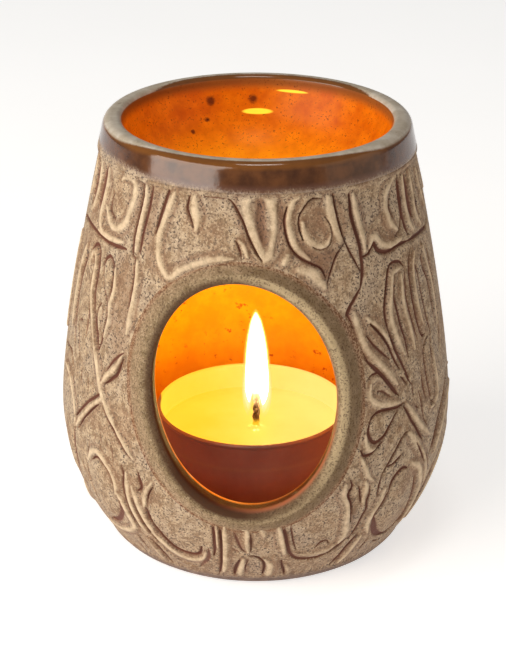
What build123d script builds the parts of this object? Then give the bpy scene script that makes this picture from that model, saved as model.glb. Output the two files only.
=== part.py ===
# Essential oil burner with its tealight.
# A turned stoneware shell closes at the top in a shallow oil dish, and an oval window in its side
# lets a tealight in on its edge. The tealight then burns on the chamber floor, under the dish.
# Millimetres, +Z up, origin on the table under the middle of the foot, window towards -Y.

import os

from build123d import *

os.makedirs("parts", exist_ok=True)

# Every cut runs past the surface that it opens by this much
overrun = 3.0

# Stoneware shell, seen from outside
body_height = 86.0
foot_radius = 28.3
belly_radius = 39.2
belly_height = 27.6
rim_radius = 29.1
foot_edge = 1.0

# How the side swells, as shares of the steps between foot, belly and rim
foot_swell_share = (0.75, 0.3)
under_belly_share = 0.26
over_belly_share = 0.17
rim_swell_share = (0.58, 0.43)

# Stoneware shell, inside
wall = 4.2
floor_thickness = 7.5
foot_recess = 2.0
foot_ring_width = 4.0
recess_corner = 1.5
chamber_corner = 4.0
chamber_crown = 1.6

# Rim and oil dish, which are one with the shell
rim_width = 3.4
rim_outer_round = 1.9
rim_inner_round = 1.2
rim_depth = 2.2
dish_shoulder = 0.8
shoulder_round = 0.35
dish_depth = 18.0
dish_wall = 4.0

# Oval window and the smooth collar raised round it. Its ends are set before it leans: the sill
# above the chamber floor, which holds the tealight in, and the head below the rim
window_width = 33.5
window_sill = 11.6
window_head = 21.5
window_lean = 8.6
window_outer_round = 2.0
window_inner_round = 0.8
collar_width = 6.5
collar_rise = 0.6
collar_edge = 0.5

# Vent at the back, under the dish
vent_diameter = 8.0
vent_drop = 23.0
vent_round = 0.7

# The carving's main grooves, each a run of straight gouge cuts between places on the wall. A place
# is its degrees round from the window's middle, positive to the right, and its height as a share of
# the body's. The side grooves are carved once in front and mirrored on the back
gouge_radius = 0.8
groove_depth = 0.65
front_groove_shares = (
    ((-6.7, 0.14), (-7.4, 0.085), (-9, 0.045)),
    ((-5, 0.915), (0, 0.86), (5, 0.8)),
    ((14, 0.915), (12.5, 0.87), (17, 0.81), (25, 0.775)),
    ((25.5, 0.91), (19.5, 0.895), (18, 0.85), (21, 0.825)),
    ((30.5, 0.915), (32.2, 0.86), (34, 0.815), (37.5, 0.77)),
    ((14.5, 0.13), (17, 0.095), (22, 0.085), (28, 0.095), (33.5, 0.125)),
    ((7.5, 0.1), (7, 0.045)),
    ((-27.5, 0.915), (-29.5, 0.88), (-31.5, 0.83)),
    ((-30.8, 0.2), (-27.5, 0.14), (-21, 0.09), (-14.5, 0.1)),
)
side_groove_shares = (
    ((37, 0.915), (37.5, 0.85), (39.5, 0.78), (38, 0.72), (35, 0.675)),
    ((36, 0.62), (39.5, 0.555), (48, 0.465)),
    ((44, 0.79), (56, 0.782), (70, 0.777), (85, 0.785)),
    ((57, 0.915), (52, 0.88), (54.5, 0.825)),
    ((61.5, 0.915), (60.8, 0.83), (64, 0.8)),
    ((67, 0.905), (67.3, 0.825)),
    ((72.5, 0.905), (73.5, 0.825)),
    ((55, 0.745), (48.5, 0.71), (46.2, 0.65), (48.5, 0.585), (54, 0.49)),
    ((62, 0.745), (60, 0.7), (60.5, 0.63), (63, 0.565)),
    ((66, 0.72), (67, 0.62), (69, 0.56), (68, 0.49)),
    ((70.5, 0.74), (73, 0.66), (73, 0.59)),
    ((51, 0.43), (55, 0.375), (60, 0.32), (65, 0.225)),
    ((66.4, 0.29), (72, 0.36), (84, 0.42)),
    ((39.5, 0.38), (43.5, 0.395), (49, 0.435)),
    ((41.7, 0.29), (45.5, 0.325), (50.5, 0.365)),
    ((58.5, 0.22), (53, 0.275), (47, 0.268), (42.3, 0.19), (45, 0.125), (52, 0.09), (59.5, 0.13)),
    ((37.5, 0.27), (37.5, 0.21), (35.5, 0.15)),
    ((36.5, 0.105), (33, 0.055)),
    ((63, 0.11), (69, 0.17), (72, 0.225)),
    ((-40, 0.915), (-38.5, 0.875), (-40, 0.8), (-38.5, 0.73), (-39, 0.65)),
    ((-85, 0.765), (-70, 0.777), (-55, 0.778), (-44, 0.78)),
    ((-49, 0.9), (-45, 0.89), (-47, 0.845), (-52, 0.83), (-55, 0.86)),
    ((-63, 0.91), (-63.5, 0.83)),
    ((-71.5, 0.905), (-72, 0.825)),
    ((-64, 0.71), (-60, 0.745), (-56.6, 0.71), (-56.3, 0.655), (-50.5, 0.54)),
    ((-47.8, 0.66), (-47.3, 0.72), (-50.5, 0.745), (-52.8, 0.7), (-49, 0.65)),
    ((-66.5, 0.72), (-69.5, 0.62), (-66, 0.51)),
    ((-76, 0.73), (-77.5, 0.61), (-75.5, 0.53)),
    ((-46, 0.43), (-42, 0.39), (-37, 0.355), (-34, 0.335)),
    ((-47.5, 0.445), (-54, 0.4), (-60, 0.355)),
    ((-63, 0.38), (-67, 0.415), (-75, 0.43)),
    ((-79, 0.475), (-70, 0.482), (-65, 0.455)),
    ((-45, 0.475), (-41.5, 0.5), (-40, 0.54)),
    ((-37.8, 0.3), (-37.8, 0.22), (-35.5, 0.15)),
    ((-50.5, 0.28), (-45, 0.285), (-42, 0.24), (-42, 0.17), (-46, 0.125), (-52.5, 0.13), (-55.5, 0.2)),
    ((-31.5, 0.105), (-28, 0.055)),
    ((-60, 0.15), (-66, 0.09), (-71, 0.065)),
    ((-61.5, 0.32), (-63.6, 0.225), (-70, 0.155)),
    ((-73, 0.255), (-79, 0.32), (-85, 0.36)),
)
back_groove_shares = (
    ((24, 0.35), (28, 0.465), (26.5, 0.585), (20, 0.665), (10, 0.65), (3.5, 0.56), (2.5, 0.45)),
    ((20, 0.58), (17, 0.5), (11, 0.41), (4, 0.36)),
    ((29, 0.28), (19, 0.25), (9, 0.21), (3, 0.15)),
    ((30, 0.72), (20, 0.75), (9, 0.8), (2.5, 0.82)),
)

# Tealight cup, pressed from foil, a little off the middle of the floor
tealight_diameter = 38.5
tealight_height = 15.5
tealight_offset = -0.7
cup_draft = 0.55
cup_foil = 0.3
cup_corner = 1.2
cup_bead = 0.4

# Wax, and the shrinkage gap between it and what it was poured round
wax_drop = 5.3
wax_gap = 0.1
pool_dish = 0.4

# Wick and the tin tab that holds it up
wick_diameter = 1.5
wick_offset = 0.7
wick_stand = 8.3
wick_lean = 0.4
wick_bead = 0.95
tab_diameter = 12.0
tab_thickness = 0.3
neck_diameter = 2.4
neck_height = 2.6
wick_gap = 0.1

# Heights and radii that follow from the sizes above
foot_inner = foot_radius - foot_edge - foot_ring_width
floor_top = foot_recess + floor_thickness
rim_bore = rim_radius - rim_width
dish_top = body_height - rim_depth
dish_radius = rim_bore - dish_shoulder
dish_fall = dish_depth - rim_depth
window_height = body_height - window_head - floor_top - window_sill
window_middle = floor_top + window_sill + window_height / 2
window_start = tealight_diameter / 2
vent_middle = body_height - vent_drop
cup_mouth = tealight_diameter / 2 - cup_bead
cup_base = cup_mouth - cup_draft
wax_top = tealight_height - wax_drop
tealight_section = Plane(origin=(tealight_offset, 0, floor_top), z_dir=(0, -1, 0), x_dir=(1, 0, 0))
tealight_axis = Axis((tealight_offset, 0, floor_top), (0, 0, 1))
wick_foot = Plane(origin=(tealight_offset + wick_offset, 0, floor_top + cup_foil))
wick_section = Plane(origin=wick_foot.origin, z_dir=(0, -1, 0), x_dir=(1, 0, 0))
wick_axis = Axis(wick_foot.origin, (0, 0, 1))


def side_line(inset):
    """Half outline of the shell's outer form, drawn in by inset along the radius."""
    foot = foot_radius - inset
    belly = belly_radius - inset
    rim = rim_radius - inset
    above = body_height - belly_height
    Bezier(
        (foot, 0),
        (foot + foot_swell_share[0] * (belly - foot), foot_swell_share[1] * belly_height),
        (belly, belly_height - under_belly_share * belly_height),
        (belly, belly_height),
    )
    Bezier(
        (belly, belly_height),
        (belly, belly_height + over_belly_share * above),
        (rim + rim_swell_share[0] * (belly - rim), body_height - rim_swell_share[1] * above),
        (rim, body_height),
    )
    Polyline((rim, body_height), (0, body_height), (0, 0), (foot, 0))


def cup_side(height):
    """Outer radius of the foil cup at a height above the chamber floor."""
    return cup_base + (cup_mouth - cup_base) * height / tealight_height


def gouge_seat(turn, height_share):
    """Middle of the round gouge where it is set on the wall at a place of the carving."""
    level = Plane(origin=(0, 0, height_share * body_height), x_dir=(0, -1, 0)).rotated((0, 0, turn))
    wall_spot, outwards = skin.part.find_intersection_points(Axis(level.origin, level.x_dir))[-1]
    return wall_spot + outwards * (gouge_radius - groove_depth)


def gouge_cuts(groove):
    """Straight cuts of the round gouge from each place of a groove to the next."""
    seats = [gouge_seat(*place) for place in groove]
    return [
        Plane(origin=(near + far) / 2, z_dir=far - near)
        * Cylinder(gouge_radius, (far - near).length, mode=Mode.PRIVATE)
        for near, far in zip(seats, seats[1:])
    ]


def turned_back(groove, side):
    """A groove carried round to the back, on the same side of the burner or on the other."""
    return [(180 - side * turn, height_share) for turn, height_share in groove]


# The collar is cut as an oval out of a shell that stands proud of the wall by its rise
with BuildPart() as collar:
    with BuildSketch(Plane.XZ):
        with BuildLine():
            side_line(-collar_rise)
        make_face()
    revolve(axis=Axis.Z)
    with BuildSketch(Plane.XZ):
        with Locations((0, window_middle)):
            Ellipse(window_width / 2 + collar_width, window_height / 2 + collar_width, rotation=window_lean)
    extrude(amount=belly_radius + overrun, mode=Mode.INTERSECT)
    fillet(collar.edges().filter_by(GeomType.BSPLINE), collar_edge)

# Hollow under the dish: the wall inside, the floor, and the underside of the dish
with BuildSketch(Plane.XZ) as chamber:
    with BuildLine():
        side_line(wall)
    make_face()
    with Locations((0, floor_top)):
        Rectangle(belly_radius, floor_top + overrun, align=(Align.MIN, Align.MAX), mode=Mode.SUBTRACT)
    with Locations((0, dish_top)):
        Ellipse(dish_radius + dish_wall, dish_fall + dish_wall, mode=Mode.SUBTRACT)
        Rectangle(belly_radius, rim_depth + overrun, align=(Align.MIN, Align.MIN), mode=Mode.SUBTRACT)
    fillet(chamber.vertices().sort_by(Axis.Y)[-1], chamber_crown)
    fillet(chamber.vertices().group_by(Axis.Y)[0].sort_by(Axis.X)[-1], chamber_corner)

# Hollow of the dish, with the shoulder that the glaze gathers on
with BuildSketch(Plane.XZ) as basin:
    with BuildLine():
        bowl = EllipticalCenterArc((0, dish_top), dish_radius, dish_fall, start_angle=270, arc_size=90)
        Polyline(
            bowl @ 1,
            (rim_bore, dish_top),
            (rim_bore, body_height + overrun),
            (0, body_height + overrun),
            bowl @ 0,
        )
    make_face()
    shoulder = basin.vertices().filter_by(lambda corner: abs(corner.Y - dish_top) < shoulder_round)
    fillet(shoulder, shoulder_round)

# Outer form as it comes off the wheel
with BuildPart() as skin:
    with BuildSketch(Plane.XZ) as outside:
        with BuildLine():
            side_line(0)
        make_face()
        fillet(outside.vertices().group_by(Axis.Y)[0].sort_by(Axis.X)[-1], foot_edge)
    revolve(axis=Axis.Z)

# The shell: outer form and collar first, then every hollow, the window and the vent, and last the
# carving, which runs on round the back
with BuildPart() as ceramic_body:
    add(skin.part)
    add(collar.part)
    with BuildSketch(Plane.XZ) as recess:
        Rectangle(foot_inner, foot_recess, align=(Align.MIN, Align.MIN))
        fillet(recess.vertices().group_by(Axis.Y)[-1].sort_by(Axis.X)[-1], recess_corner)
        add(chamber.sketch)
        add(basin.sketch)
    revolve(axis=Axis.Z, mode=Mode.SUBTRACT)
    crest = ceramic_body.edges().filter_by(GeomType.CIRCLE).group_by(Axis.Z)[-1].sort_by(SortBy.RADIUS)
    fillet(crest[-1], rim_outer_round)
    fillet(crest[0], rim_inner_round)
    with BuildSketch(Plane.XZ.offset(window_start)):
        with Locations((0, window_middle)):
            Ellipse(window_width / 2, window_height / 2, rotation=window_lean)
    extrude(amount=belly_radius, mode=Mode.SUBTRACT)
    window = ceramic_body.edges(Select.LAST).filter_by(GeomType.BSPLINE).sort_by(Axis.Y)
    fillet(window[0], window_outer_round)
    fillet(window[-1], window_inner_round)
    with BuildSketch(Plane.XZ.offset(-foot_inner)):
        with Locations((0, vent_middle)):
            Circle(vent_diameter / 2)
    extrude(amount=-belly_radius, mode=Mode.SUBTRACT)
    vent = ceramic_body.edges(Select.LAST).filter_by(GeomType.BSPLINE)
    fillet(vent, vent_round)
    grooves = [*front_groove_shares, *side_groove_shares]
    grooves += [turned_back(groove, 1) for groove in side_groove_shares]
    grooves += [turned_back(groove, side) for groove in back_groove_shares for side in (-1, 1)]
    add([cut for groove in grooves for cut in gouge_cuts(groove)], mode=Mode.SUBTRACT)
ceramic_body.part.label = "ceramic_body"
export_step(ceramic_body.part, "parts/ceramic_body.step")

# Foil cup: a sheet pressed up into a dished side, with its lip rolled into a bead
with BuildPart() as tealight_cup:
    with BuildSketch(tealight_section):
        with BuildLine() as foil:
            FilletPolyline(
                (0, cup_foil / 2),
                (cup_base - cup_foil / 2, cup_foil / 2),
                (cup_mouth - cup_foil / 2, tealight_height - cup_bead),
                radius=cup_corner,
            )
        trace(foil.line, cup_foil)
        with Locations((0, 0)):
            Rectangle(cup_mouth, overrun, align=(Align.MAX, Align.CENTER), mode=Mode.SUBTRACT)
        with Locations((cup_mouth, tealight_height - cup_bead)):
            Circle(cup_bead)
    revolve(axis=tealight_axis)
tealight_cup.part.label = "tealight_cup"
export_step(tealight_cup.part, "parts/tealight_cup.step")

# Wick tab: a thin disc under the wax with a crimped neck round the wick
with BuildPart() as wick_tab:
    with BuildSketch(wick_foot):
        Circle(tab_diameter / 2)
    extrude(amount=tab_thickness)
    with BuildSketch(wick_foot.offset(tab_thickness)):
        Circle(neck_diameter / 2)
        Circle(wick_diameter / 2 + wick_gap, mode=Mode.SUBTRACT)
    extrude(amount=neck_height)
wick_tab.part.label = "wick_tab"
export_step(wick_tab.part, "parts/wick_tab.step")

# Wax, shrunk clear of the foil, the tab and the wick, and a little dished where it has melted
with BuildPart() as candle_wax:
    with BuildSketch(tealight_section) as wax_section:
        with BuildLine():
            rise = Polyline(
                (0, cup_foil),
                (cup_side(cup_foil) - cup_foil - wax_gap, cup_foil),
                (cup_side(wax_top) - cup_foil - wax_gap, wax_top),
            )
            pool = ThreePointArc(rise @ 1, (0, wax_top - pool_dish), (-(rise @ 1).X, wax_top))
            Polyline(pool @ 1, (-(rise @ 1).X, cup_foil), rise @ 0)
        make_face()
        with Locations((0, 0)):
            Rectangle(cup_mouth, tealight_diameter, align=(Align.MAX, Align.CENTER), mode=Mode.SUBTRACT)
        corner = wax_section.vertices().group_by(Axis.Y)[0].sort_by(Axis.X)[-1]
        fillet(corner, cup_corner)
    revolve(axis=tealight_axis)
    with BuildSketch(wick_foot):
        Circle(tab_diameter / 2 + wax_gap)
    extrude(amount=tab_thickness, mode=Mode.SUBTRACT)
    with BuildSketch(wick_foot):
        Circle(neck_diameter / 2 + wax_gap)
    extrude(amount=tab_thickness + neck_height, mode=Mode.SUBTRACT)
    with BuildSketch(wick_foot):
        Circle(wick_diameter / 2 + wax_gap)
    extrude(amount=tealight_height, mode=Mode.SUBTRACT)
candle_wax.part.label = "candle_wax"
export_step(candle_wax.part, "parts/candle_wax.step")

# Wick: upright through the wax, then leaning over to its glowing bead
with BuildPart() as wick:
    with BuildLine(wick_section) as strand:
        stem = Line((0, tab_thickness), (0, wax_top - cup_foil))
        TangentArc(stem @ 1, (wick_lean, wax_top - cup_foil + wick_stand - wick_bead), tangent=stem % 1)
    with BuildSketch(wick_foot.offset(tab_thickness)):
        Circle(wick_diameter / 2)
    sweep(path=strand.line)
    with Locations(strand.line @ 1):
        Sphere(wick_bead)
wick.part.label = "wick"
export_step(wick.part, "parts/wick.step")
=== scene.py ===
# %% [markdown]
# # A carved stoneware oil burner, dressed for its picture
# A tealight burns in the chamber of this burner and warms the oil dish above it. The CAD model holds
# the true sizes, and this file gives every surface its form and finish: the carving, the rolled lip
# of the window, the glazes, the wax and the flame.

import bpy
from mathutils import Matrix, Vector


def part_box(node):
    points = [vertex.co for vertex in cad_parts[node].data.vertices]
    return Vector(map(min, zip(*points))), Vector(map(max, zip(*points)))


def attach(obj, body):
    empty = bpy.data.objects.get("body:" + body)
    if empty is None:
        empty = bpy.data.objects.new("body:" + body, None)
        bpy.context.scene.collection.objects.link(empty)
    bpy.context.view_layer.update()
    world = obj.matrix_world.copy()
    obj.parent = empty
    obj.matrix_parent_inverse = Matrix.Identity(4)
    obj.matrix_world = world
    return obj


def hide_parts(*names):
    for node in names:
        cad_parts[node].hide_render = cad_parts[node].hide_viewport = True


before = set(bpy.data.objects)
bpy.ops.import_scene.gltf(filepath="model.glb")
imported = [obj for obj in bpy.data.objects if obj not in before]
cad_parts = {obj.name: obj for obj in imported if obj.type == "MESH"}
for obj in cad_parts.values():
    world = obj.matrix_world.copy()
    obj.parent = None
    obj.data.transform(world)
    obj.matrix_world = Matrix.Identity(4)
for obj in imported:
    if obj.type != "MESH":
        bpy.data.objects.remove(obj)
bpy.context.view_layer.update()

# %% Tools and units
import math

import bmesh
import bpy
import numpy as np
from mathutils import Matrix, Vector
from mathutils.geometry import interpolate_bezier

mm = 0.001
degree = math.radians(1)
body_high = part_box("ceramic_body")[1]
cup_low, cup_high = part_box("tealight_cup")
wax_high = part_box("candle_wax")[1]
body_height = body_high.z
belly_radius = body_high.x
print("body", round(body_height / mm, 2), "mm tall and", round(2 * belly_radius / mm, 2), "mm across")

# %% [markdown]
# ## The camera
# The photograph looks down on the burner from the front. A camera was fitted to the ellipses of the
# rim, the window and the tealight. It comes first, because every later choice is judged from it.

# %% The camera
photo_height_px = 650
focal_length_px = 1882
sensor_size = 36.0
camera_distance = 342.9 * mm
camera_height = 192.85 * mm
camera_side_step = -0.62 * mm
camera_round = 3.6 * degree
camera_pitch = 23.72 * degree
camera_roll = 0.35 * degree


def photo_camera():
    """The photograph's camera: round from the window, a level distance off, pitched and rolled."""
    data = bpy.data.cameras.new("photo_camera")
    data.lens = sensor_size * focal_length_px / photo_height_px
    data.sensor_width = sensor_size
    data.clip_start = mm
    camera = bpy.data.objects.new("photo_camera", data)
    bpy.context.scene.collection.objects.link(camera)
    turn = Matrix.Rotation(camera_round, 4, "Z")
    pitch = Matrix.Rotation(math.pi / 2 - camera_pitch, 4, "X")
    place = turn @ Vector((camera_side_step, -camera_distance, camera_height))
    camera.matrix_world = Matrix.Translation(place) @ turn @ pitch @ Matrix.Rotation(camera_roll, 4, "Z")
    bpy.context.scene.camera = camera
    return camera


camera = photo_camera()
print("camera at", [round(x, 4) for x in camera.location], "lens", round(camera.data.lens, 1))

# %% [markdown]
# ## The side line
# The burner is turned on a wheel, so one line gives its whole outer form. Two Bezier curves meet at
# the belly, the widest place, and each end of a curve has a handle that pulls it by a share of the
# curve's width or height. The same line is used again for the wall's inside, the collar and the
# rim, so they all follow the CAD solid.

# %% The side line
foot_radius = 28.3 * mm
rim_radius = 29.1 * mm
belly_height = 27.6 * mm
foot_edge = 1.0 * mm
wall = 4.2 * mm
floor_top = cup_low.z
foot_recess = 2.0 * mm
side_points = 300
foot_pull_out, foot_pull_up = 0.75, 0.3
belly_pull_low, belly_pull_high = 0.74, 0.17
rim_pull_out, rim_pull_down = 0.58, 0.43


def side_curve(low, high, low_pull, high_pull):
    """Points of one Bezier of the side, from (radius, height) low to high."""
    ends = [Vector((*point, 0)) for point in (low, low_pull, high_pull, high)]
    return [(p.x, p.y) for p in interpolate_bezier(*ends, side_points)]


above_belly = body_height - belly_height
swell = belly_radius - foot_radius
taper = belly_radius - rim_radius
lower_side = side_curve(
    (foot_radius, 0),
    (belly_radius, belly_height),
    (foot_radius + foot_pull_out * swell, foot_pull_up * belly_height),
    (belly_radius, belly_pull_low * belly_height),
)
upper_side = side_curve(
    (belly_radius, belly_height),
    (rim_radius, body_height),
    (belly_radius, belly_height + belly_pull_high * above_belly),
    (rim_radius + rim_pull_out * taper, body_height - rim_pull_down * above_belly),
)
side = np.array(lower_side + upper_side[1:])
along_side = np.concatenate([[0], np.cumsum(np.hypot(*np.diff(side, axis=0).T))])


def radius_at(height):
    """Radius of the outer side at a height, or at many."""
    return np.interp(height, side[:, 1], side[:, 0])


def up_side(low, high, step, inset=0.0):
    """(radius, height) points up the side between two heights, a step apart, drawn in by inset."""
    start, end = np.interp([low, high], side[:, 1], along_side)
    places = np.linspace(start, end, max(2, round((end - start) / step) + 1))
    radii = np.interp(places, along_side, side[:, 0]) - inset
    return list(zip(radii, np.interp(places, along_side, side[:, 1])))


def arc(centre, radius, start, end, steps):
    """(radius, height) points round an arc, with angles in degrees from straight outwards."""
    turns = np.radians(np.linspace(start, end, steps + 1))
    return [(centre[0] + radius * math.cos(t), centre[1] + radius * math.sin(t)) for t in turns]


print("side line", round(along_side[-1] / mm, 1), "mm long, with", len(side), "points")

# %% [markdown]
# ## Turning and cutting
# Most of the burner's pieces are round, so they are drawn as half an outline and spun, with the seam
# at the back. A piece that meets the axis closes at its pole once the doubles there are merged.
# Holes are cut by a boolean with a cutter, as a potter cuts them out of the leather-hard wall.

# %% Turned pieces
merge_gap = 0.0005 * mm
seam_angle = -180 * degree


def finish_object(name, bm):
    """A bmesh becomes an object at the origin."""
    mesh = bpy.data.meshes.new(name)
    bm.to_mesh(mesh)
    bm.free()
    made = bpy.data.objects.new(name, mesh)
    bpy.context.scene.collection.objects.link(made)
    return made


def count(piece):
    """Triangles of a piece, for the printed notes."""
    return sum(len(face.vertices) - 2 for face in piece.data.polygons)


def finish_smooth(name, bm):
    """A bmesh becomes a smooth-shaded object whose faces all look outwards."""
    for face in bm.faces:
        face.smooth = True
    bmesh.ops.recalc_face_normals(bm, faces=bm.faces[:])
    return finish_object(name, bm)


def turned(name, outline, steps, centre=(0.0, 0.0)):
    """An outline of (radius, height) points, both ends on the axis, turned about an upright axis."""
    bm = bmesh.new()
    away = (math.sin(seam_angle), -math.cos(seam_angle))
    verts = [bm.verts.new((centre[0] + r * away[0], centre[1] + r * away[1], z)) for r, z in outline]
    for pair in zip(verts, verts[1:]):
        bm.edges.new(pair)
    bmesh.ops.spin(
        bm,
        geom=bm.verts[:] + bm.edges[:],
        cent=(*centre, 0),
        axis=(0, 0, 1),
        angle=360 * degree,
        steps=steps,
        use_merge=True,
    )
    bmesh.ops.remove_doubles(bm, verts=bm.verts[:], dist=merge_gap)
    return finish_smooth(name, bm)


def cut_away(piece, cutter):
    """Takes the cutter's shape out of the piece and removes the cutter."""
    modifier = piece.modifiers.new("cut", "BOOLEAN")
    modifier.object = cutter
    modifier.operation = "DIFFERENCE"
    modifier.solver = "MANIFOLD"
    bpy.context.view_layer.update()
    ready = piece.evaluated_get(bpy.context.evaluated_depsgraph_get())
    mesh = bpy.data.meshes.new_from_object(ready)
    piece.modifiers.clear()
    old = piece.data
    piece.data = mesh
    mesh.name = piece.name
    bpy.data.meshes.remove(old)
    bpy.data.objects.remove(cutter)


# %% [markdown]
# ## The window and the vent
# The window is an oval that leans a little to the left, cut through the wall from the front. Its
# collar and the vent's lip are bands that follow the curved wall, so one function places them: it
# takes an oval, widened by a step, and finds the wall at each of its points. The cutters reach
# through one side of the wall and leave the other side whole.

# %% The window on the wall
window_half_width = 16.75 * mm
window_half_height = 21.7 * mm
window_middle = 42.8 * mm
window_lean = 8.6 * degree
vent_radius = 4.0 * mm
vent_middle = 63.0 * mm
front_reach = (-45 * mm, -15 * mm)
back_reach = (20 * mm, 45 * mm)
cutter_segments = 160


def oval_cutter(half_width, half_height, middle, lean, near, far):
    """A leaning oval prism along Y, from near to far."""
    bm = bmesh.new()
    bmesh.ops.create_circle(bm, cap_ends=True, radius=1, segments=cutter_segments)
    grown = bmesh.ops.extrude_face_region(bm, geom=bm.faces[:])["geom"]
    far_side = [item for item in grown if isinstance(item, bmesh.types.BMVert)]
    bmesh.ops.translate(bm, verts=far_side, vec=(0, 0, 1))
    bmesh.ops.scale(bm, verts=bm.verts[:], vec=(half_width, half_height, far - near))
    bmesh.ops.rotate(bm, verts=bm.verts[:], matrix=Matrix.Rotation(lean, 3, "Z"))
    bmesh.ops.rotate(bm, verts=bm.verts[:], matrix=Matrix.Rotation(math.pi / 2, 3, "X"))
    bmesh.ops.translate(bm, verts=bm.verts[:], vec=(0, far, middle))
    bmesh.ops.recalc_face_normals(bm, faces=bm.faces[:])
    return finish_object("cutter", bm)


def window_cutter(wider):
    """The window's oval, wider all round, through the front wall only."""
    reach = (window_half_width + wider, window_half_height + wider)
    return oval_cutter(*reach, window_middle, window_lean, *front_reach)


def vent_cutter(wider):
    """The vent's circle, wider all round, through the back wall only."""
    size = vent_radius + wider
    return oval_cutter(size, size, vent_middle, 0, *back_reach)


# %% Bands on the wall
lip_width = 2 * mm


def open_edges(bm):
    """The edges round a bmesh's open ends."""
    return [edge for edge in bm.edges if edge.is_boundary]


def grow_rings(bm, segments, levels, place):
    """Extrudes a circle, one ring to a level. place(vert, turn, level) moves each point of a ring."""
    turns = bm.verts.layers.float.new("turn")
    bmesh.ops.create_circle(bm, cap_ends=False, radius=1, segments=segments)
    for vert in bm.verts:
        vert[turns] = math.atan2(vert.co.y, vert.co.x)
    verts, ring = bm.verts[:], bm.edges[:]
    for number, level in enumerate(levels):
        if number:
            grown = bmesh.ops.extrude_edge_only(bm, edges=ring)["geom"]
            verts = [item for item in grown if isinstance(item, bmesh.types.BMVert)]
            ring = [item for item in grown if isinstance(item, bmesh.types.BMEdge) and item.is_boundary]
        for vert in verts:
            place(vert, vert[turns], level)


def band_on_wall(name, section, half_width, half_height, middle, lean, facing, segments, narrowed=0.0):
    """A closed band round an oval opening, swept from a section of (step out, depth) points.

    Depth is measured from the wall's outside towards its inside. The section is drawn flat, one
    ring to a point, and each ring is then laid on the wall at its own depth. The part beyond the
    lip is narrowed by a share over the top. Each point keeps its step and depth for the finish.
    """
    bm = bmesh.new()
    depths = bm.verts.layers.float.new("depth")
    steps_out = bm.verts.layers.float.new("step_out")

    def place(vert, turn, level):
        step, depth = level
        out = step - max(0, step - lip_width) * narrowed * max(0, math.sin(turn)) ** 1.5
        vert.co = ((half_width + out) * math.cos(turn), (half_height + out) * math.sin(turn), depth)
        vert[steps_out] = step / mm

    grow_rings(bm, segments, section, place)
    bmesh.ops.bridge_loops(bm, edges=open_edges(bm))
    tilt = Matrix.Rotation(lean, 3, "Z")
    for vert in bm.verts:
        vert[depths] = vert.co.z / mm
        flat = tilt @ Vector((vert.co.x, vert.co.y, 0))
        height = middle + flat.y
        radius = radius_at(height) - vert.co.z
        vert.co = (flat.x, facing * math.sqrt(radius**2 - flat.x**2), height)
    return finish_smooth(name, bm)


print("window", round(2 * window_half_width / mm, 1), "by", round(2 * window_half_height / mm, 1), "mm")

# %% [markdown]
# ## The carving, stroke by stroke
# On the real burner the pattern was cut into soft clay with a loop tool: dark grooves, raised lines
# left between them, and pillow-like ovals, in the manner of old wood block prints. Here each stroke
# is a short path over the wall, in degrees round from the window's middle and millimetres up. A
# stroke is smoothed into a curve and pressed into a fine mesh, so the relief is real and catches the
# light. It also leaves three attributes that tell the finish where iron oxide gathers, where the
# clay is rubbed bright and where it is stained.

# %% Strokes
carving = []
back_carving = []


def cut(half_width, *path, deep=1.0, stain=1.0, into=carving):
    """A groove: half its width in mm, its path, its share of the full depth and its darkness."""
    into.append(("cut", half_width, deep, stain, path))


def ridge(half_width, *path, rise=1.0, into=carving):
    """A raised line along a path."""
    into.append(("ridge", half_width, rise, 1.0, path))


def pillow(half_width, *path, rise=0.8, into=carving):
    """A broad raised form along a path, without a line's bright crest."""
    into.append(("pillow", half_width, rise, 0.0, path))


def tint(half_width, *path, dark=1.0, into=carving):
    """A broad stain along a path, without any depth."""
    into.append(("tint", half_width, 0.0, dark, path))


# %% Top band, left of the middle
ridge(0.55, (-37, 79.5), (-37, 76), (-38, 71), (-38.2, 67.5))
cut(0.5, (-40, 80), (-38.3, 78.5), (-38.5, 76), (-39.5, 72), (-40, 69), (-39.8, 66.7), (-38.5, 66))
cut(0.35, (-34.7, 80), (-35, 76), (-36.3, 71), (-36.8, 67), deep=0.6)
cut(0.4, (-38.5, 66), (-37.8, 63), (-38, 60), (-38.6, 56), deep=0.7)
ridge(0.5, (-37, 66), (-36.5, 62), (-37.2, 58), (-38, 52))
cut(0.6, (-85, 65.5), (-78, 66.8), (-65, 67), (-52, 66.7), (-43.2, 67))
ridge(0.5, (-60, 67.9), (-52, 67.8), (-44.5, 68.2))
ridge(
    0.55, (-50, 79), (-47, 80), (-43, 79.5), (-42, 77.5), (-43, 74.5), (-45, 71.5), (-49, 70),
    (-53, 70.5), (-57, 73),
)
cut(0.45, (-54.5, 76), (-55, 74), (-54, 72.3), (-51, 71.5))
ridge(0.55, (-60, 79.5), (-59, 77), (-59.5, 74), (-60.3, 71), (-59.5, 69), (-57, 68.2))
cut(1.2, (-63, 79.5), (-63, 75), (-63.5, 71.5), deep=0.7, stain=0.8)
ridge(0.55, (-67.5, 80), (-66, 76), (-66.5, 73), (-69, 70))
cut(0.8, (-71.5, 79), (-71, 75), (-72.5, 70.5), deep=0.7, stain=0.8)
ridge(0.5, (-75, 80), (-74, 75), (-76, 72))
cut(0.5, (-27.5, 80.5), (-29.5, 76), (-31.3, 71.5))
ridge(
    0.5, (-25, 80), (-28.5, 74), (-29.5, 71), (-28.5, 67), (-24.5, 64.5), (-20, 66.5), (-10, 68.8),
    (-4, 69.2),
)
tint(1.2, (-33, 79), (-34, 73), (-33, 68), (-31, 65.5), dark=0.5)
cut(0.3, (-14.5, 79.6), (-7, 79.6), deep=0.5)
cut(0.35, (-19.8, 79.4), (-20.3, 77.2), (-18.9, 75.6), (-17.5, 73.9))
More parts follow.
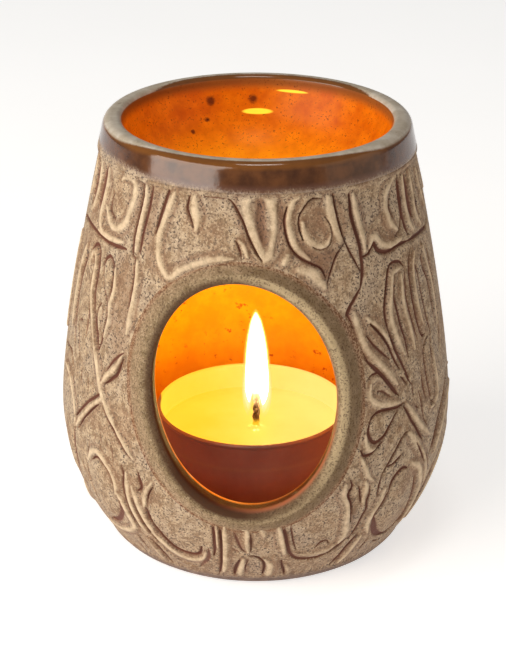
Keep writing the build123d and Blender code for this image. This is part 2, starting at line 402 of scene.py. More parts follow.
ridge(0.7, (-17.9, 79.6), (-17.4, 77.1), (-16.4, 75), (-16.5, 73.7))

# %% Top band, right of the middle
cut(0.32, (-6.3, 79.5), (-4.6, 78.8), (-2.8, 77.4), (-0.9, 75.5), (1, 72.9), (3.4, 70.3), (5.3, 68.8))
ridge(
    0.75, (4.1, 80.4), (0.8, 80), (-0.2, 78.5), (0.9, 76.2), (2.5, 73.6), (4.2, 71.2), (5.7, 69.3),
    (8.1, 70.7), (9.2, 73.1), (9.4, 75.7), (8.6, 78.1), (7.2, 79.7), (4.1, 80.4),
)
tint(1.0, (4.7, 79), (4.7, 75.8), (5.7, 72.3))
cut(1.0, (4.7, 78.8), (4.7, 75.8), (5.5, 72.7), deep=0.5, stain=0.2)
cut(0.9, (11.1, 79.2), (11.2, 76.1), (10.9, 73.5), (9.2, 70), deep=0.5, stain=0.35)
cut(
    0.32, (13.6, 78.2), (12.5, 75.7), (13.3, 72.6), (15, 70.5), (17.9, 68.8), (21.4, 67.7),
    (24.2, 66.7), (25.5, 65),
)
ridge(0.5, (17.5, 79.8), (15.5, 79), (14.1, 77.1), (13.7, 75), (15.1, 72.2), (17.2, 70.3), (20.3, 68.7))
cut(0.24, (26, 79), (22.2, 79.2), (19.5, 78), (17.6, 76.2), (17.5, 74.3), (18.6, 72.1), stain=0.9)
ridge(0.6, (18.6, 75.2), (19, 73.2), (21, 71.6), (23.8, 70.7), (26.4, 71), (27.8, 72.4))
ridge(0.45, (17.7, 77.4), (20, 79.1), (22.7, 79.8), (25.8, 79.7), rise=0.8)
cut(
    0.2, (26.4, 75.9), (28, 74.4), (28.5, 72.6), (27, 70.7), (24.2, 70.2), (21.3, 70.9), deep=0.6,
    stain=0.7,
)
ridge(0.85, (27.9, 79.4), (28.4, 76.8), (29.5, 73.9), (31.1, 71.3))
cut(0.36, (30.1, 79.9), (30.4, 77.8), (31.1, 75.3), (32.1, 72.7), (32.8, 71.3))
tint(1.5, (19.1, 69.5), (23.6, 68.5), (27.4, 68.9), dark=0.9)
tint(1.0, (25.1, 67.5), (25.5, 65.7), dark=0.9)
tint(1.4, (23.7, 77.1), (24.2, 74), dark=0.5)
cut(0.32, (32.7, 70.5), (29.8, 68.7), (28, 66.8), (25.9, 64))
ridge(0.8, (13.3, 69.7), (12.1, 68.3))
ridge(0.8, (16.6, 67), (20.5, 66.5), (22.6, 65), (24.7, 63.5))
cut(0.3, (-3.2, 72.2), (-2, 70.8), (-1.3, 69))
ridge(0.5, (-2.2, 72.4), (-0.8, 71.6), (0.7, 69.6))
cut(0.3, (32.8, 71.3), (34.4, 69.2), (36.4, 66.9), (38, 65))
cut(0.6, (36.5, 79), (36.3, 76), (37, 73.5), (38.5, 70), (39, 67), (38.8, 64.5), (37.5, 62))
ridge(0.55, (37.7, 79), (38, 76), (39.5, 72), (40.2, 68.5))
pillow(1.6, (34.5, 77), (35, 73.5), (37, 70))
cut(0.55, (39.5, 67.3), (42, 67.7), (44.5, 69.2), (46, 67.8), (50, 66.9), (56, 67.2), (62, 66.9))
cut(0.55, (62, 66.9), (68, 66.8), (75, 66.6), (80, 66.3), (85, 67.5))
ridge(0.5, (42, 68.9), (44.5, 70.6), (47.5, 68.9), (52, 68), (58, 68.3))
ridge(0.55, (58, 79.5), (53, 77.5), (51.5, 75), (53, 72), (56, 70.2))
cut(0.4, (55.3, 76.8), (53.6, 74.8), (54.8, 72.6), deep=0.7)
cut(0.4, (60.5, 79), (60, 74), (60, 72), (58, 70), (55, 69))
ridge(0.5, (64, 79), (63, 75), (63.5, 71), (66, 68.5))
cut(0.6, (61.8, 79.5), (61.2, 75), (61.2, 71), (63, 68))
cut(1.2, (67, 78.5), (66.5, 74.5), (67.5, 70.8), deep=0.7, stain=0.8)
ridge(0.5, (70, 79), (70, 75), (69.8, 71), (73, 68.3))
cut(0.6, (72.3, 78.5), (72.3, 74), (74.5, 70))
ridge(0.5, (78, 78), (78.5, 75), (81, 70.5))
cut(0.7, (84, 79), (84.5, 74), (87, 70.5), deep=0.8)

# %% Fan of leaves on the right
cut(0.6, (37.5, 62), (35, 60.2), (33, 58.8), (32, 57.5), (33, 55.5), (34, 53), (35.5, 50.5), (38, 48))
cut(0.6, (38, 48), (42, 45.3), (45, 42.8), (48, 40))
ridge(0.55, (34, 58), (34.8, 55.6), (36, 53), (37.8, 50.4), (41, 48), (44.5, 45.2), (48, 42.2))
cut(0.45, (57.5, 63), (56, 64), (53, 64.5), (50, 64), (48, 61), (46.5, 58), (46, 56), (46.5, 53))
cut(0.45, (46.5, 53), (48, 50), (50.5, 46.5), (54, 42))
ridge(0.45, (54.5, 63.2), (51, 62.7), (49.6, 60), (48.2, 57), (48.2, 54), (50, 50.5), (52.2, 47.2))
cut(0.45, (51.5, 62.5), (50.7, 59), (51.5, 56), (52.5, 52.5), (54, 49.5), (54.5, 46))
cut(0.35, (57.8, 62.5), (57, 58.5), (57, 56), (58.5, 52), (60, 48.5), deep=0.7)
ridge(0.4, (55, 62), (54.4, 58), (55, 54.5), (56.5, 51), (57.5, 47))
cut(0.45, (63, 65.3), (61, 63.5), (60, 61), (60, 57), (60.5, 54), (61.5, 51), (63, 48.5), (65, 48.2))
ridge(0.4, (64.3, 64.6), (62.2, 62), (61.8, 58), (62.4, 54), (63.8, 50.6))
cut(0.45, (63.5, 63), (65.5, 60.5), (66, 57), (67, 53), (68, 50), (69, 48.3), (68, 45), (68, 42))
cut(0.45, (67, 47.8), (64, 46.5), (62.8, 45), (63, 42), (63.6, 39), (64.6, 36.4), (65, 34.2))
ridge(
    0.45, (68.3, 44), (68.8, 41.4), (69.5, 39), (69.3, 36.4), (68.8, 34.8), (66.4, 33.8),
    (64.3, 33.6),
)
cut(0.35, (65.5, 34.6), (67.4, 32.9), deep=0.8)
cut(0.45, (69.5, 64), (70, 60.5), (72, 58), (73, 55), (73, 51))
ridge(0.4, (71.5, 64.5), (72.5, 61), (74.5, 57.5), (75.2, 53), (74.5, 48))
cut(0.5, (76.5, 64), (77, 60), (78.5, 56), (78.5, 51), (77, 46), (75, 42), deep=0.8)
ridge(0.5, (38.5, 56.3), (42, 54.2), (45, 51.7), (47, 49.2))
cut(0.4, (39.5, 55.2), (43, 52.8), (46, 49.9), (48, 47), (50, 44.6))
cut(0.35, (38, 53), (41, 50.5), (46, 47.3), deep=0.7)
cut(0.4, (43.6, 44), (45.5, 42.5), (47.4, 41), (48.8, 39.6))
cut(0.4, (50.2, 43.1), (52.6, 41.2), deep=0.8)
cut(0.4, (52.1, 43.4), (54.5, 40.8), deep=0.8)
cut(0.4, (55, 41), (55.3, 38.1), deep=0.8)
cut(0.3, (57.9, 38.7), (58.8, 36.9), (59.5, 34.3), (60.2, 32.2), (61.7, 30.5), deep=0.7)
cut(0.4, (60.2, 42), (60.6, 39), (61.6, 36.2), deep=0.6)
cut(0.45, (56, 35.9), (57.2, 35.3), deep=0.7)

# %% Two leaves beside the collar, on the right
ridge(0.5, (38, 43.7), (37.4, 42), (38.3, 40.7), (40.7, 39.6), (44.5, 38.9), (48.3, 38.5))
ridge(0.4, (38, 44), (41, 44.6), (44.5, 43.2), (47.6, 40.8), rise=0.8)
cut(0.5, (40.6, 42), (42.6, 41.6), (45, 40.3), deep=0.7, stain=0.8)
cut(0.4, (37.5, 44.8), (39, 45.4), (42, 45.4), deep=0.8)
cut(0.5, (37.2, 36.6), (38.8, 37.6), (40.7, 38), (43.6, 37.9), (46.4, 37.6), (48.3, 37.4), (50.5, 37.8))
cut(
    0.55, (37.2, 36.4), (36.7, 34.6), (37.4, 33.1), (38.8, 32.2), (40.7, 32.4), (42.6, 33.1),
    (44.5, 34.6), (47.9, 36.9),
)
pillow(1.5, (40, 35.2), (43.4, 36.2))
ridge(0.4, (35.4, 34.4), (35.6, 32.4), (37, 31.2), (39, 31.2))
cut(0.5, (34, 31.6), (35, 30.3), (36.9, 30.1), (38.8, 30.8), (41.7, 31.9))
ridge(0.45, (34, 29.9), (35.5, 27.5), (36.4, 25.8), (38.3, 24.6))
cut(0.45, (50.5, 37.2), (52.1, 35.5), (53.6, 33.7), (55.5, 31.9), (57.4, 29.9), (59.3, 28.1))
ridge(
    0.6, (51.5, 31.8), (54.5, 29.3), (56.9, 27.2), (59.8, 24.6), (62.1, 22.2), (63.6, 19.9),
    (65, 16.9),
)
ridge(0.5, (51.6, 37.4), (54.4, 34.6), (58, 31.4), (62.5, 28.4))
cut(0.45, (55.4, 28.7), (58.4, 25.7), (61.2, 22.8), deep=0.6)
cut(0.5, (61.5, 24.4), (63.6, 22.4), (64.8, 20.5), (65.3, 18.6))
cut(
    0.8, (64.6, 23.4), (66.4, 25.2), (67.9, 27.4), (69.8, 29.3), (72.1, 31), (75.5, 32.8),
    (79.3, 34.9), (84, 36.4),
)
ridge(0.6, (67.5, 23), (70.5, 26.3), (74, 28.8), (79, 31.6), (84, 33.6))

# %% Lower right
cut(0.45, (41.7, 25.2), (43.6, 26.6), (45.5, 28.1), (47.9, 29.9), (50.2, 31.4), (51.9, 31.9))
cut(0.45, (41.7, 25), (41.2, 22.8), (41, 20.5))
cut(0.5, (43.8, 26.2), (46, 26.4), (47.9, 27.1), (49.3, 27.5), deep=0.8)
ridge(0.45, (42.6, 29), (45.4, 31.2), (48.6, 33.2), rise=0.7)
pillow(3.0, (50.5, 19.5), (50.5, 13.5), rise=1.0)
cut(0.65, (45.5, 20.5), (46.4, 22.5), (48.3, 23.8), (50.7, 24.3), (52.8, 23.6))
cut(0.7, (45.6, 20.3), (44, 18.1), (41.9, 15.8), (41.6, 14))
cut(1.25, (42.1, 14.6), (43.6, 12.2), (45.5, 10.2), (48.3, 8.7), (51.2, 7.9))
cut(
    0.6, (50, 7.9), (54, 7.7), (56.9, 8.7), (59.3, 10.5), (59.8, 12.8), (59.3, 15.8), (58.6, 18.1),
    (57.2, 20.6),
)
ridge(0.7, (53.8, 24.6), (57.5, 23), (60.4, 20.2), (62.4, 16.4), (62.4, 12), (60.6, 8.4))
ridge(0.5, (43.4, 21.6), (42, 18.6), (40.2, 16), (39.6, 13.8), (41, 11.2))
cut(
    0.45, (37.4, 23.4), (37.9, 21.6), (37.4, 19.9), (37.9, 18.1), (36.9, 16.4), (36, 14),
    (35, 12.2), (34, 11.1),
)
ridge(0.5, (35.6, 24.9), (36.1, 23.4), (35.5, 21), (36, 19.6))
cut(0.4, (33.8, 24), (34.5, 22.2), (34.9, 20.3))
cut(0.45, (30.9, 26), (31.6, 24.4), (30.4, 22.8), (31.6, 20.8), (32.3, 18.5), (32.6, 16))
ridge(0.6, (29.3, 25.2), (28.9, 22.8), (30.2, 21), (31, 19), (31.3, 16), (31.6, 13.1), (30.2, 10.9))
cut(0.5, (37.4, 11.9), (36, 10.2), (34.5, 8.4), (33.6, 6.4), (32.6, 4.9), (31.7, 3.4))
ridge(0.5, (38.6, 11), (37.2, 8.6), (36, 6), (34.6, 3.6))
cut(0.5, (43.4, 8.7), (43, 7.5), (42.1, 6.1), deep=0.8)
cut(0.45, (47.6, 7), (50, 6.2), (52.4, 6), deep=0.8)
cut(0.6, (62, 9), (66, 11.5), (69, 15), (72, 19), deep=0.8)
ridge(0.6, (65, 8), (69.5, 11.5), (73.5, 16), (77, 21))
cut(0.6, (73, 3), (77, 3.2), (80.2, 4), (84, 5.2), deep=0.9)
pillow(2.4, (78, 12), (79, 25))

# %% Foot of the window, two panels and the bars between them
cut(
    0.55, (-28.9, 14.9), (-27.1, 12.8), (-25, 10.8), (-22.8, 9.3), (-19.6, 8.5), (-16, 8.4),
    (-14, 9.3), (-13.2, 11),
)
ridge(0.5, (-29.6, 12), (-26.8, 10.2), (-24, 8.2), (-20, 6.9), (-16, 6.9), (-13.2, 7.8), (-11.9, 9.6))
cut(0.7, (-11, 10.7), (-11.4, 8.4), (-13.2, 6.5), (-15.6, 4.6), deep=0.5, stain=0.7)
cut(0.5, (-8.8, 17.6), (-8.6, 15.1), (-8.8, 12.9), (-9, 10.7), (-9.6, 8.9))
ridge(0.3, (-7.6, 17.3), (-7.7, 11.6))
cut(0.38, (-6.5, 17.8), (-6.6, 15.1), (-6.6, 12.9), (-7, 9.6), (-7.6, 6.7), (-8.4, 4.7), (-9.4, 2.7))
ridge(0.5, (-5.2, 17.3), (-5.4, 12.9), (-5.8, 9.6), (-6.4, 6.2), (-7.2, 4))
cut(0.5, (-2.6, 16.4), (-1.8, 14), (-0.6, 11.6), (0.6, 10.7), deep=0.7, stain=0.8)
cut(0.8, (-3, 11.4), (-1.6, 10.7), deep=0.5, stain=0.6)
ridge(0.45, (0, 16.9), (1.2, 16.5), (1.2, 12.9), (1.5, 10.9))
cut(0.3, (2.3, 16.4), (2.4, 11))
ridge(0.7, (5.4, 16.8), (6.4, 15.3), rise=0.8)
ridge(0.55, (10.4, 17.3), (11.2, 15.1), (12, 12.4), (12.8, 10.2))
cut(
    0.55, (11.4, 18), (12.6, 15.1), (13.5, 12.4), (14.8, 9.8), (17.2, 8.2), (20.8, 7.6),
    (24.8, 7.6), (28, 8.4),
)
cut(0.55, (28, 8.4), (30.8, 9.8), (33.4, 11.4))
cut(0.28, (13.8, 17.8), (14.6, 15.1), (15.3, 12.9), (16.4, 10.9), deep=0.8)
cut(0.4, (22.6, 10.5), (24, 11.9), (26, 12.2), (26.9, 11.4), deep=0.7)
ridge(0.45, (16.8, 9.7), (21, 9), (26, 9.2), (29.6, 10.6), rise=0.8)
cut(0.38, (1.6, 9.6), (4, 9.3), (6.2, 8), (6.8, 6.2), (6.4, 3.6))
ridge(0.6, (6.8, 8.6), (8.6, 6.7), (8.6, 4.7), (8, 2.4))
ridge(0.55, (0, 8.6), (-0.8, 6.2), (-1.6, 4), (-1.6, 2.2))
cut(0.5, (-1.2, 8.2), (-2.5, 6.2), (-3.3, 4.4), (-3.7, 2.7))
cut(0.25, (1.4, 8.4), (0.5, 6.2), (0.3, 4), deep=0.6)
cut(0.38, (12.2, 8), (12.8, 6.2), (13.8, 4.4), (14.4, 2.7))
ridge(0.5, (14, 6.4), (15.2, 4), (16, 2.4), rise=0.8)
ridge(0.4, (10, 9.6), (10.6, 6.4), (11.8, 3.4), rise=0.7)

# %% Lower left
cut(
    0.5, (-37.4, 26.3), (-36.7, 24), (-37.4, 21.7), (-37.4, 19), (-36.9, 16.4), (-35.7, 13.7),
    (-35, 12),
)
cut(0.35, (-37.6, 22), (-37.6, 19), (-37, 16), deep=1.0)
ridge(0.45, (-35.2, 25), (-35.5, 21), (-35.4, 18.1), (-34.8, 15.8), (-33.6, 13.4), (-31.9, 11.4))
cut(0.4, (-34.4, 19.3), (-33.6, 16.6), (-32.5, 14.6), (-31.5, 12.8), (-30.2, 11), (-28.8, 9.6))
ridge(0.5, (-33.6, 22.4), (-32.4, 18.1), (-31.3, 15.5), (-30.1, 13.6), (-28.6, 11.6))
cut(0.65, (-31.2, 25.8), (-30.7, 24.2), (-30.4, 22.6), (-31.7, 21.7))
ridge(0.5, (-26.4, 24.6), (-28.5, 22.2), (-29.6, 19.9), (-30.2, 18))
cut(0.3, (-26.2, 23.7), (-28, 21.6), (-29, 18.9))
cut(0.55, (-29.8, 18.2), (-29.2, 15.8), (-28.4, 14.2))
pillow(3.2, (-48.6, 20.5), (-48.6, 15), rise=1.0)
cut(
    0.5, (-50.5, 23.9), (-49, 24.7), (-47, 24.9), (-45, 24.3), (-43.1, 23.4), (-41.9, 22),
    (-41.7, 20.6),
)
ridge(
    0.5, (-52.6, 23.2), (-49.8, 25.9), (-46.9, 26.4), (-44, 25.2), (-41.4, 23.2), (-40.4, 20.8),
    (-41.2, 18.6),
)
cut(1.1, (-40.4, 17), (-41.2, 14.6), (-43.2, 12.4), (-46.2, 10.7), (-50, 9.8), deep=0.8, stain=0.85)
ridge(
    0.55, (-40.4, 19), (-38.7, 16.1), (-37.4, 13.4), (-37.1, 11.6), (-39.3, 10.2), (-43, 9),
    (-47.6, 8.3), (-53, 8.6),
)
cut(0.55, (-54.6, 21.5), (-55.6, 17.5), (-54.8, 13.6), (-52.4, 11), deep=0.6, stain=0.7)
cut(0.7, (-58.5, 21), (-57.8, 19.4), deep=0.8)
cut(0.45, (-31.7, 9.3), (-30.2, 7.5), (-29, 5.5), (-27.6, 3.1))
cut(0.45, (-38.1, 9), (-37.4, 7.2), (-36.7, 5.3), deep=0.8)
cut(0.45, (-40.7, 6), (-40, 3.4), deep=0.8)
ridge(0.35, (-28.3, 7.8), (-25, 5.5), (-21.7, 4.3), (-18.3, 3.7), rise=0.7)
ridge(0.45, (-33.4, 9.4), (-32, 6.6), (-30.6, 3.6), rise=0.8)
cut(0.6, (-60, 13), (-63, 9.6), (-66, 7), (-70, 5), deep=0.8)
ridge(0.6, (-61.6, 15.4), (-65.5, 11.4), (-70, 8.4), (-76, 6.4))
pillow(2.6, (-67, 18.5), (-68, 24))
cut(0.7, (-61.4, 27.6), (-63, 23.6), (-63.6, 19.4), (-66, 15.4), (-70, 13.4), deep=0.7)
cut(0.5, (-71.5, 28.8), (-70, 27.6), deep=0.7)
cut(0.6, (-73, 22), (-76, 26), (-80, 29), (-85, 31), deep=0.7)

# %% Crossed lines on the left
cut(0.45, (-45.2, 40.9), (-43.8, 41.6), (-42.1, 42.7), (-40.5, 43.7), (-38.5, 47))
ridge(0.45, (-46.4, 40.8), (-45, 42.4), (-42.6, 43.9), (-40, 46), (-38.6, 48.6))
ridge(
    0.55, (-50.4, 46), (-49.3, 43.4), (-48.1, 41.3), (-46.9, 39.6), (-45.5, 38.1), (-43.1, 36.1),
    (-39.3, 33.4),
)
ridge(0.5, (-39.3, 33.4), (-36.9, 31.6), (-34.5, 29.9), (-32.4, 28.6))
cut(
    0.55, (-45.3, 37), (-44.5, 35.5), (-42.1, 33.7), (-39.3, 31.9), (-37.4, 30.8), (-35.5, 29.3),
    (-33.3, 28.3),
)
ridge(0.5, (-46, 37.7), (-48.8, 36), (-51.7, 34.2), (-54.5, 32.1), (-56.9, 30.6), (-59, 28.8))
cut(0.45, (-46.9, 38.5), (-49.8, 37), (-52.6, 35.6), (-55, 34.1), (-57.4, 32.5), (-60.5, 30.2))
cut(
    0.35, (-46.9, 36.4), (-49.3, 35.1), (-51.7, 33.5), (-54, 31.9), (-56.4, 30), (-58.3, 28.4),
    deep=0.9,
)
cut(0.7, (-66.9, 36.1), (-65, 34.9), (-63.6, 33.7), (-62.1, 32))
cut(0.45, (-74.3, 36.9), (-71.2, 36.9), (-68.8, 36.5), (-66.9, 35.9), deep=0.7)
ridge(
    0.5, (-73, 38), (-69.3, 37.7), (-66, 36.9), (-63.6, 35), (-61.2, 32.9), (-60.2, 30.8),
    (-59.8, 29),
)
cut(
    0.45, (-79.8, 40.9), (-75.5, 41.2), (-71.7, 41.4), (-68.8, 41.5), (-67.4, 41), (-66, 39.6),
    (-64, 38.4),
)
cut(0.6, (-61.4, 29), (-60.6, 27.8))
cut(0.3, (-54.5, 41), (-53.8, 38.7), (-53.2, 36.9))
cut(0.3, (-59, 42.2), (-58.6, 39.9), (-57.8, 38), (-57.4, 36.4), deep=0.8)
cut(0.25, (-51.2, 40), (-50.8, 37.8), deep=0.7)
cut(0.25, (-46, 31), (-45.7, 27.8), deep=0.8)
cut(0.25, (-43, 29.6), (-42.6, 28), deep=0.8)
cut(0.3, (-41.2, 29.6), (-40.5, 26))
cut(0.3, (-51.6, 27.7), (-52.1, 24.8))
cut(0.3, (-48.6, 30), (-48.8, 28), deep=0.6)

# %% Tall leaves on the left
cut(
    0.5, (-64.5, 61), (-62.5, 64), (-60, 65), (-57.5, 64.5), (-56.5, 62), (-56.5, 59),
    (-56.5, 56.5), (-55, 53.5),
)
cut(0.45, (-55, 53.5), (-53, 50.5), (-50, 46))
ridge(
    0.45, (-62.6, 60.5), (-61.6, 62.8), (-59.6, 63.5), (-58, 62), (-58.2, 59), (-58, 56),
    (-55.5, 52), (-53, 48),
)
ridge(0.4, (-53, 48), (-50.5, 44.5), (-48.5, 42))
cut(0.4, (-60, 63.4), (-59.9, 60), (-59.2, 56), (-58.5, 51.5), (-58.5, 47), deep=0.8)
cut(
    0.5, (-47.8, 56.6), (-47.2, 59.5), (-47.5, 62), (-49, 63.8), (-51, 64.4), (-53, 63.5),
    (-53.3, 62), (-52.5, 60),
)
cut(0.45, (-52.5, 60), (-51, 58), (-48.5, 55.5), (-47.6, 54), (-48, 52), (-50, 46.5))
ridge(0.45, (-46.3, 63), (-45.6, 59.5), (-46.8, 56), (-46.6, 53), (-47.6, 49.6))
pillow(1.3, (-50.2, 62), (-49.4, 59))
cut(0.4, (-52, 55.2), (-53.3, 53.5), (-52, 50), (-50.5, 47.5))
ridge(0.4, (-50.6, 55), (-51.6, 53.2), (-50.8, 50.4), rise=0.8)
cut(0.4, (-45, 43.5), (-42.5, 46), (-38.5, 48.3), deep=0.6)
cut(0.4, (-65, 49), (-62.5, 49.5), deep=0.8)
cut(0.45, (-64.5, 48), (-63, 45), (-61, 42))
cut(0.6, (-68.4, 48.9), (-67.6, 48.2))
cut(0.6, (-66, 62), (-68.5, 58), (-69.5, 53), (-68, 47), (-66, 43))
ridge(0.55, (-67.5, 63.5), (-70.5, 59), (-71.6, 53), (-70.4, 47))
tint(2.2, (-42, 64), (-41.6, 58), (-41.4, 52), (-40.4, 47), dark=0.45)
cut(0.6, (-75, 63), (-77, 58), (-77.5, 52), (-76, 46), deep=0.8)
ridge(0.5, (-79, 64), (-81, 58), (-81.5, 51), (-80, 44))
cut(0.6, (-84, 62), (-85.5, 56), (-85.5, 49), (-84, 43), deep=0.8)

# %% The back, where the photograph can't see


def mirrored(stroke, half_width, *path):
    """A stroke on both sides of the back's middle."""
    for side_sign in (1, -1):
        stroke(half_width, *[(side_sign * angle, height) for angle, height in path], into=back_carving)


mirrored(cut, 0.6, (-24, 30), (-28, 40), (-27, 50), (-20, 58), (-10, 56), (-3, 48), (0, 38))
mirrored(ridge, 0.55, (-21.5, 31), (-25.2, 40), (-24.4, 49), (-18.8, 55.5), (-11, 54), (-5, 47))
mirrored(cut, 0.4, (-20, 51), (-18, 44), (-12, 36), (-3, 30))
mirrored(cut, 0.35, (-14, 51.5), (-12.5, 46), (-8, 39.5))
mirrored(ridge, 0.45, (-22, 47), (-19, 40), (-12, 32), (-3, 26))
mirrored(cut, 0.7, (-30, 24), (-20, 22), (-8, 18), (0, 12))
mirrored(ridge, 0.55, (-30, 20.8), (-19, 19), (-9, 15), (-2, 9))
mirrored(ridge, 0.6, (0, 43), (-2.6, 47.5), (-4.2, 52), (-2.5, 56), (0, 57.6))
mirrored(ridge, 0.45, (-29, 60), (-20, 62.2), (-10, 66.6))
cut(0.3, (0, 45), (0, 55), deep=0.6, into=back_carving)
ridge(0.5, (0, 36.5), (0, 28), into=back_carving)
pillow(2.6, (0, 26), (0, 19), into=back_carving)
cut(0.45, (-30, 62), (-20, 64.5), (-9, 69), (0, 71), (9, 69), (20, 64.5), (30, 62), into=back_carving)
print(len(carving), "strokes in front and", len(back_carving), "more behind")

# %% [markdown]
# ## Pressing the carving in
# Each wall piece is a fine grid of points. A point knows its angle and height, so its distance from
# every stroke can be measured in millimetres, and strokes are narrower towards their tips. A ridge
# has a faint wash of stain along its sides. Heights and fades are in mm, and the reach and the wash
# of a stroke are counted in half widths. The wall's ground sinks a little below the CAD side,
# ridges come back up to it, and grooves go deeper. Points only move straight towards the axis, by
# less than a millimetre, so the outline stays that of the CAD solid.

# %% Relief
ground_depth = 0.45 * mm
groove_depth = 0.45 * mm
carving_low, fade_low = 2.2, 1.5
carving_high, fade_high = 80.2, 0.8
side_tolerance = 0.05 * mm
path_steps = 5
tip_width, tip_growth = 0.45, 0.25
line_width = {"cut": 0.8, "ridge": 1.15, "pillow": 1.0, "tint": 1.0}
stroke_reach = {"cut": 2.6, "ridge": 3.6, "pillow": 2.6, "tint": 2.6}
wash_place, wash_width, wash_strength = 2.1, 0.6, 0.7


def smooth_path(points):
    """A stroke's points joined by a smooth curve."""
    p = np.array(points, float)
    p = np.vstack([2 * p[0] - p[1], p, 2 * p[-1] - p[-2]])
    t = np.linspace(0, 1, path_steps, endpoint=False)[:, None]
    spans = []
    for a, b, c, d in zip(p, p[1:], p[2:], p[3:]):
        spans.append(b + 0.5 * t * (c - a + t * (2 * a - 5 * b + 4 * c - d + t * (3 * (b - c) + d - a))))
    return np.vstack([*spans, p[-2:-1]])


def around_mm(angle, height):
    """Way round the wall in mm, from an angle in degrees and a height in mm."""
    return angle * degree * radius_at(height * mm) / mm


def distance_to(path, spots):
    """Distance in mm from each spot to a path, and the way from there to the path's nearer end."""
    lengths = np.hypot(*np.diff(path, axis=0).T)
    total = lengths.sum()
    best = np.full(len(spots), np.inf)
    end_way = np.zeros(len(spots))
    passed = 0.0
    for begin, finish, length in zip(path, path[1:], lengths):
        reach = finish - begin
        share = np.clip((spots - begin) @ reach / max(length**2, 1e-9), 0, 1)
        gap = np.hypot(*(spots - begin - share[:, None] * reach).T)
        closer = gap < best
        best[closer] = gap[closer]
        way = passed + share[closer] * length
        end_way[closer] = np.minimum(way, total - way)
        passed += length
    return best, end_way


def smooth_step(x):
    """Rises softly from 0 to 1 as x does."""
    x = np.clip(x, 0, 1)
    return x * x * (3 - 2 * x)


def carve(piece, strokes, turn_back=False):
    """Moves a wall piece's outer points into relief and stores how dark or bright each one is."""
    mesh = piece.data
    points = np.empty(3 * len(mesh.vertices))
    mesh.vertices.foreach_get("co", points)
    points = points.reshape(-1, 3)
    radii = np.hypot(points[:, 0], points[:, 1])
    heights = points[:, 2] / mm
    angles = np.arctan2(points[:, 0], -points[:, 1]) / degree
    if turn_back:
        angles = np.sign(angles) * (180 - np.abs(angles))
    spots = np.column_stack([around_mm(angles, heights), heights])
    raised, sunk, stained, bright, tone = (np.zeros(len(points)) for _ in range(5))
    for kind, half_width, strength, stain, stroke in strokes:
        path = smooth_path(stroke)
        path = np.column_stack([around_mm(path[:, 0], path[:, 1]), path[:, 1]])
        margin = stroke_reach[kind] * half_width
        low, high = path.min(axis=0) - margin, path.max(axis=0) + margin
        near = np.flatnonzero(np.all((spots > low) & (spots < high), axis=1))
        if not len(near):
            continue
        gap, end_way = distance_to(path, spots[near])
        width = half_width * np.clip(tip_width + tip_growth * end_way, tip_width, 1) * line_width[kind]
        if kind == "cut":
            amount = 1 - smooth_step((gap / width - 0.4) / 0.9)
            sunk[near] = np.maximum(sunk[near], strength * amount)
            stained[near] = np.maximum(stained[near], stain * amount)
        elif kind == "ridge":
            amount = strength * np.exp(-0.45 * (gap / width) ** 2)
            raised[near] = np.maximum(raised[near], amount)
            bright[near] = np.maximum(bright[near], amount**2)
            washed = wash_strength * strength * np.exp(-(((gap / width - wash_place) / wash_width) ** 2))
            tone[near] = np.maximum(tone[near], washed)
        elif kind == "pillow":
            amount = strength * (1 - smooth_step(gap / half_width / 1.5))
            raised[near] = np.maximum(raised[near], amount)
        else:
            tone[near] = np.maximum(tone[near], stain * (1 - smooth_step(gap / half_width - 0.5)))
    raised *= 1 - sunk
    bright *= 1 - sunk
    edge = smooth_step((heights - carving_low) / fade_low)
    edge = edge * smooth_step((carving_high - heights) / fade_high)
    on_side = np.abs(radii - radius_at(points[:, 2])) < side_tolerance
    depth = (ground_depth * (1 - raised) + groove_depth * sunk) * edge * on_side
    points[:, :2] *= (1 - depth / radii)[:, None]
    mesh.vertices.foreach_set("co", points.ravel())
    for name, values in (("groove", stained * edge), ("ridge", bright * edge), ("tone", tone)):
        layer = mesh.attributes.new(name, "FLOAT", "POINT")
        layer.data.foreach_set("value", (values * on_side).astype(np.float32))
    mesh.update()


# %% The carved wall
fine_step = 0.21 * mm
coarse_step = 0.36 * mm
shell_low = 2.0 * mm
shell_high = 80.6 * mm
shell_inset = 2.5 * mm
inner_step = 6 * mm
collar_gap = 3.4 * mm
vent_gap = 0.9 * mm


def bent_slice(name, outline, start, sweep, steps):
    """A closed outline carried round part of a turn, with flat ends.

    Angles are in degrees round from the window's middle. It starts as a flat grid, which is much
    quicker to bend than so many points are to spin.
    """
    rows = np.array(outline + outline[:1])
    bm = bmesh.new()
    bmesh.ops.create_grid(bm, x_segments=steps, y_segments=len(rows) - 1, size=1)
    for vert in bm.verts:
        turn = (start + (vert.co.x + 1) / 2 * sweep) * degree
        radius, height = rows[round((vert.co.y + 1) / 2 * (len(rows) - 1))]
        vert.co = (radius * math.sin(turn), -radius * math.cos(turn), height)
    bmesh.ops.remove_doubles(bm, verts=bm.verts[:], dist=merge_gap)
    for face in bm.faces:
        face.smooth = True
    caps = bmesh.ops.holes_fill(bm, edges=open_edges(bm), sides=0)["faces"]
    for edge in {edge for cap in caps for edge in cap.edges}:
        edge.smooth = False
    bmesh.ops.recalc_face_normals(bm, faces=bm.faces[:])
    return finish_object(name, bm)


def carved_wall(name, start, sweep, step, strokes, turn_back=False):
    """One upright slice of the carved wall, with its window or vent cut out, carved."""
    outline = up_side(shell_low, shell_high, step)
    outline += up_side(shell_low, shell_high, inner_step, shell_inset)[::-1]
    piece = bent_slice(name, outline, start, sweep, round(sweep * degree * belly_radius / step))
    cut_away(piece, vent_cutter(vent_gap) if turn_back else window_cutter(collar_gap))
    carve(piece, strokes, turn_back)
    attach(piece, "burner")
    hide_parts("ceramic_body")
    print(name, count(piece), "triangles")
    return piece


